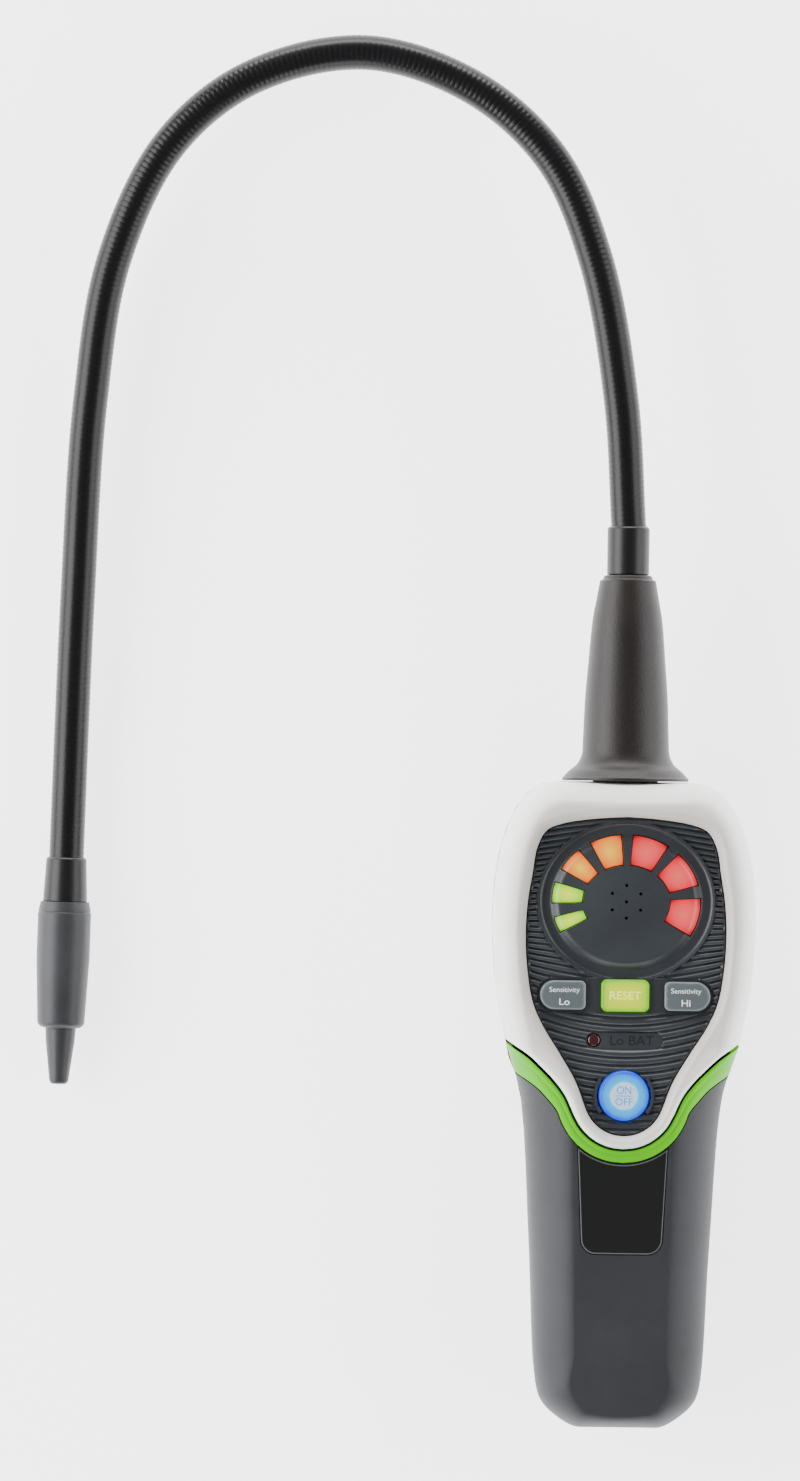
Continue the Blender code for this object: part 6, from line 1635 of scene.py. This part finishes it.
@dataclass
class Gooseneck:
    """Ribbed bendable neck, in one closed tube section across each of its ten joints."""

    form: HandsetForm
    root: NeckRoot
    route: tuple[Pair, ...] = (
        (0.0, 0.1500), (-0.0024, 0.1830), (-0.0095, 0.2196), (-0.0213, 0.2459), (-0.0419, 0.2641),
        (-0.0700, 0.2730), (-0.1000, 0.2662), (-0.1211, 0.2487), (-0.1352, 0.2187), (-0.1410, 0.1820),
        (-0.1438, 0.1295), (-0.1458, 0.0618))
    radius: float = 0.0046
    links: int = 9
    end_margin: float = 0.0070
    lean: float = 1.2
    sleeve_length: float = 0.01125
    end_height: float = 0.0070
    ridge_pitch: float = 0.0014
    ridge_depth: float = 0.00009
    ridge_rows: int = 8
    segments: int = 36
    bend_reach: float = 0.0200

    def middle_line(self) -> tuple[Array, Array]:
        """Middle line of the neck: straight from the nut, then a smooth curve through the route, with
        its height easing down to the probe's.

        Returns:
            Points and the length up to each.
        """
        lean = math.radians(self.lean)
        tip = self.route[-1]
        inner = self.sleeve_length - GAP
        end = (tip[0] - inner * math.sin(lean), tip[1] - inner * math.cos(lean))
        flange_y = self.form.half + GAP
        nut_y = flange_y - self.form.wall - 2 * GAP - self.root.inner_flange[1] - GAP - 0.0060
        sleeve_end = flange_y + self.root.length + GAP + self.root.sleeve_length
        flat = smooth_path([(0.0, sleeve_end), *self.route[1:], end], 16)
        flat = np.vstack([[(0.0, nut_y)], flat])
        lengths = np.concatenate([[0.0], np.cumsum(np.linalg.norm(np.diff(flat, axis=0), axis=1))])
        ease = smooth_step(lengths, lengths[1] + self.end_margin, lengths[-1] - 2 * self.sleeve_length)
        heights = self.form.split + (self.end_height - self.form.split) * ease
        return np.column_stack([flat, heights]), lengths

    def rings(self, line: Array, lengths: Array, places: Array, radii: Array) -> Array:
        """Rings of given radii square to the middle line at places along it."""
        step = 0.0008
        at = [np.stack([np.interp(places + move, lengths, line[:, k]) for k in range(3)], axis=1)
              for move in (0.0, step, -step)]
        tangent = at[1] - at[2]
        tangent /= np.linalg.norm(tangent, axis=1)[:, None]
        side = np.cross(tangent, (0.0, 0.0, 1.0))
        side /= np.linalg.norm(side, axis=1)[:, None]
        up = np.cross(side, tangent)
        turn = np.linspace(0, 2 * math.pi, self.segments, endpoint=False)
        circle = np.cos(turn)[None, :, None] * side[:, None] + np.sin(turn)[None, :, None] * up[:, None]
        return at[0][:, None] + radii[:, None, None] * circle

    def build(self) -> None:
        """Carry a ring along the line, its radius falling by a rounded groove once each pitch."""
        line, lengths = self.middle_line()
        pivots = np.linspace(lengths[1] + self.end_margin, lengths[-1] - self.sleeve_length - self.end_margin,
                             self.links + 1)
        middles = (pivots[1:] + pivots[:-1]) / 2
        bounds = np.concatenate([[lengths[0]], middles, [lengths[-1]]])
        bodies = ["handset", *[f"neck_{k}" for k in range(1, self.links + 1)], "probe"]
        nodes = [("gooseneck_root",), *[(f"gooseneck_link_{k}",) for k in range(1, self.links + 1)]]
        nodes[-1] = (*nodes[-1], "gooseneck_tip")
        material = PrintedTube().make()
        pitch = self.ridge_pitch / self.ridge_rows
        for k, (start, end) in enumerate(zip(bounds, bounds[1:])):
            first = lengths[1] - 0.004 if k == 0 else start
            count = max(int(round((end - first) / pitch)), 2)
            places = np.linspace(first, end, count + 1)
            if k == 0:
                places = np.concatenate([[start], places])
            groove = np.abs(np.sin(math.pi * places / self.ridge_pitch)) ** 0.6
            radii = self.radius - self.ridge_depth * (1 - groove)
            grid = self.rings(line, lengths, places, radii)
            rows, columns = grid.shape[:2]
            faces = grid_faces(rows, columns, wrap_columns=True)
            faces += [list(range(columns))[::-1], list(range((rows - 1) * columns, rows * columns))]
            turn = np.broadcast_to(np.linspace(0, 1, columns, endpoint=False), (rows, columns))
            uv = np.stack([np.broadcast_to(places[:, None] * 10, (rows, columns)), turn], axis=-1).reshape(-1, 2)
            piece = Piece(f"gooseneck_section_{k + 1}", bodies[k], "neck_black", material, nodes[k])
            made = piece.make(grid, faces, uv, ride=False)
            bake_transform(made)


@dataclass
class Probe:
    """Tip sleeve, sensor barrel and nozzle on the probe's own axis."""

    neck: Gooseneck
    sleeve_radii: Pair = (0.0053, 0.0058)
    chamfer: float = 0.0004
    barrel_radius: float = 0.0070
    barrel_top: float = 0.0064
    barrel_end: float = 0.0062
    barrel_length: float = 0.0331
    barrel_widest: float = 0.0149
    barrel_bore: float = 0.0044
    collar: float = 0.0027
    end_round: float = 0.0010
    nozzle_radii: tuple[float, float, float] = (0.0040, 0.0038, 0.0025)
    nozzle_collar: float = 0.0036
    nozzle_length: float = 0.0148
    nozzle_bore: float = 0.0012
    nozzle_shank: float = 0.0060
    tip_round: float = 0.0006
    ring_groove: Pair = (0.00025, 0.00018)
    screw_place: float = 0.0046
    screw_hole: float = 0.0011

    def build(self) -> None:
        """Turn each profile of place along and radius about the probe's axis."""
        lean = math.radians(self.neck.lean)
        tip = self.neck.route[-1]
        aim = (-math.sin(lean), -math.cos(lean), 0.0)
        base = np.array((tip[0], tip[1], self.neck.end_height))
        bore = self.neck.radius + GAP
        length = self.neck.sleeve_length
        sleeve = soft_profile([(0.0, bore), (self.chamfer, self.sleeve_radii[0]), (length, self.sleeve_radii[1]),
                               (length + 0.8 * GAP, self.sleeve_radii[1]), (length + 0.8 * GAP, bore)], 0.0003)
        top = length + GAP
        groove = self.collar
        half, deep = self.ring_groove
        barrel = soft_profile([
            (0.0, self.barrel_bore), (0.0, self.barrel_top - 0.0001), (0.0001, self.barrel_top),
            (groove - half, self.barrel_radius - 0.0001), (groove, self.barrel_radius - deep - 0.0001),
            (groove + half, self.barrel_radius), (self.barrel_widest, self.barrel_radius),
            (self.barrel_length - self.end_round, self.barrel_end),
            (self.barrel_length, self.barrel_end - self.end_round), (self.barrel_length, self.barrel_bore)],
            0.0006, 6)
        end = top + self.barrel_length
        root, waist, tip_radius = self.nozzle_radii
        shank = self.barrel_bore - GAP
        nozzle = soft_profile([
            (-self.nozzle_shank, self.nozzle_bore), (-self.nozzle_shank, shank), (0.0, shank), (GAP, root),
            (self.nozzle_collar, waist), (self.nozzle_length - self.tip_round, tip_radius),
            (self.nozzle_length, tip_radius - self.tip_round), (self.nozzle_length, self.nozzle_bore)], 0.0005, 5)
        grey = PROBE_GREY.make()
        for name, profile, start, slot, material, node in (
            ("tip_sleeve_crimp", sleeve, 0.0, "neck_black", SLEEVE_BLACK.make(), "tip_sleeve"),
            ("sensor_barrel_housing", barrel, top, "probe_grey", grey, "sensor_barrel"),
            ("sensor_nozzle_cone", nozzle, end, "probe_grey", grey, "sensor_nozzle"),
        ):
            line = Line(tuple(base + start * np.array(aim)), aim)
            grid = lathe_points(profile, line, 72)
            faces = grid_faces(len(grid), 72, wrap_rows=True, wrap_columns=True)
            made = raw_solid(name, grid, faces)
            if node == "sensor_barrel":
                spot = base + (top + self.screw_place) * np.array(aim)
                across = Line(tuple(spot), (-math.cos(lean), math.sin(lean), 0.0))
                reach = [(0.003, self.screw_hole), (2 * self.barrel_radius, self.screw_hole)]
                shaped(made, stacked_solid("screw_hole", lathe_points(reach, across, 24)))
            Piece(name, "probe", slot, material, (node,)).dress(made)


@dataclass
class Internals:
    """The CAD pieces that stay as they are, each dressed in its own material."""

    finishes: dict[str, Moulding | MetalFinish] = field(default_factory=lambda: {
        "rear_housing": DARK_GRIP, "battery_door": DARK_GRIP, "circuit_board": BOARD_GREEN,
        "keypad_membrane": MEMBRANE_GREY, "speaker": SPEAKER_BLACK, "neck_nut": STEEL,
        "barrel_set_screw": STEEL, "sensor_element": BRASS, "battery_contact_lower": STEEL,
        "battery_contact_upper": STEEL, **{f"housing_screw_{k}": STEEL for k in range(1, 5)},
        **{f"battery_{k}": CELL_WRAP for k in range(1, 5)},
    })

    def dress(self) -> None:
        """Give each kept node its material, made once for each finish."""
        made: dict[str, bpy.types.Material] = {}
        for name, finish in self.finishes.items():
            if finish.name not in made:
                made[finish.name] = finish.make()
            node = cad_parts[name]
            node.data.materials.clear()
            node.data.materials.append(made[finish.name])
        LOG.info("dressed %d kept nodes", len(self.finishes))


@dataclass
class Studio:
    """Pale floor, soft lights and the camera straight above the object."""

    camera_place: tuple[float, float, float] = (-0.0587, 0.0937, 1.816)
    camera_turn: float = 0.01375
    lens: float = 167.54
    floor_size: float = 6.0
    fill: float = 0.36
    softboxes: tuple[tuple[str, tuple[float, float, float], Pair, float], ...] = (
        ("left_softbox", (-1.15, 0.10, 0.62), (1.7, 0.9), 7.6),
        ("right_softbox", (1.15, 0.10, 0.60), (1.7, 0.9), 3.7),
        ("near_softbox", (-0.05, -1.20, 0.40), (1.2, 0.5), 4.6),
        ("far_softbox", (-0.10, 1.55, 0.34), (1.5, 0.44), 13.0),
    )

    def build(self) -> None:
        """Set up the floor, the world, the softboxes and the camera."""
        half = self.floor_size / 2
        points = np.array([(-half, -half, 0.0), (half, -half, 0.0), (half, half, 0.0), (-half, half, 0.0)])
        mesh = bpy.data.meshes.new("studio_floor")
        mesh.from_pydata(points.tolist(), [], [(0, 1, 2, 3)])
        mesh.materials.append(self.floor_material())
        floor = bpy.data.objects.new("studio_floor", mesh)
        bpy.context.scene.collection.objects.link(floor)
        world = bpy.data.worlds.new("studio")
        world.use_nodes = True
        world.node_tree.nodes["Background"].inputs["Color"].default_value = linear("#F4F5F7")
        world.node_tree.nodes["Background"].inputs["Strength"].default_value = self.fill
        bpy.context.scene.world = world
        for name, place, size, radiance in self.softboxes:
            self.softbox(name, place, size, radiance * math.pi * size[0] * size[1])
        camera = bpy.data.cameras.new("camera")
        camera.sensor_fit = "VERTICAL"
        camera.sensor_height = 36.0
        camera.lens = self.lens
        holder = bpy.data.objects.new("camera", camera)
        holder.location = self.camera_place
        holder.rotation_euler = (0.0, 0.0, self.camera_turn)
        bpy.context.scene.collection.objects.link(holder)
        bpy.context.scene.camera = holder

    @staticmethod
    def floor_material() -> bpy.types.Material:
        """White paper sweep: matt, with a slow faint mottle."""
        made = bpy.data.materials.new("white paper sweep")
        made.use_nodes = True
        tree = made.node_tree
        shader = tree.nodes["Principled BSDF"]
        place = add_node(tree, "ShaderNodeTexCoord").outputs["Object"]
        mottle = add_node(tree, "ShaderNodeTexNoise", values={"Scale": 1.5}, sources={"Vector": place})
        colour = colour_ramp(tree, mottle.outputs["Fac"], ((0.3, "#F7F7F8"), (0.7, "#FAFAFB")))
        tree.links.new(colour, shader.inputs["Base Color"])
        tree.links.new(colour, shader.inputs["Emission Color"])
        shader.inputs["Emission Strength"].default_value = 2.9
        shader.inputs["Roughness"].default_value = 0.9
        return made

    @staticmethod
    def softbox(name: str, place: tuple[float, float, float], size: Pair, power: float) -> None:
        """Add a rectangular soft light that faces the object's middle."""
        light = bpy.data.lights.new(name, "AREA")
        light.shape = "RECTANGLE"
        light.size, light.size_y = size
        light.energy = power
        holder = bpy.data.objects.new(name, light)
        holder.location = place
        aim = Vector((-0.04, 0.06, 0.02)) - Vector(place)
        holder.rotation_euler = aim.to_track_quat("-Z", "Y").to_euler()
        bpy.context.scene.collection.objects.link(holder)


def main() -> None:
    """Build the sub-assemblies in order and report each piece."""
    logging.basicConfig(level=logging.INFO, format="%(name)s %(message)s")
    form = HandsetForm()
    panel = ControlPanel(form)
    trim = TrimBand(form)
    handle = HandleShell(form, trim)
    root = NeckRoot(form)
    neck = Gooseneck(form, root)
    Studio().build()
    HeadShell(form, trim, panel.edge()).build()
    trim.build()
    handle.build()
    handle.build_label()
    panel.build()
    panel.build_windows()
    panel.build_keys()
    panel.build_lamp()
    panel.print_words()
    root.build()
    neck.build()
    Probe(neck).build()
    Internals().dress()


if __name__ == "__main__":
    main()
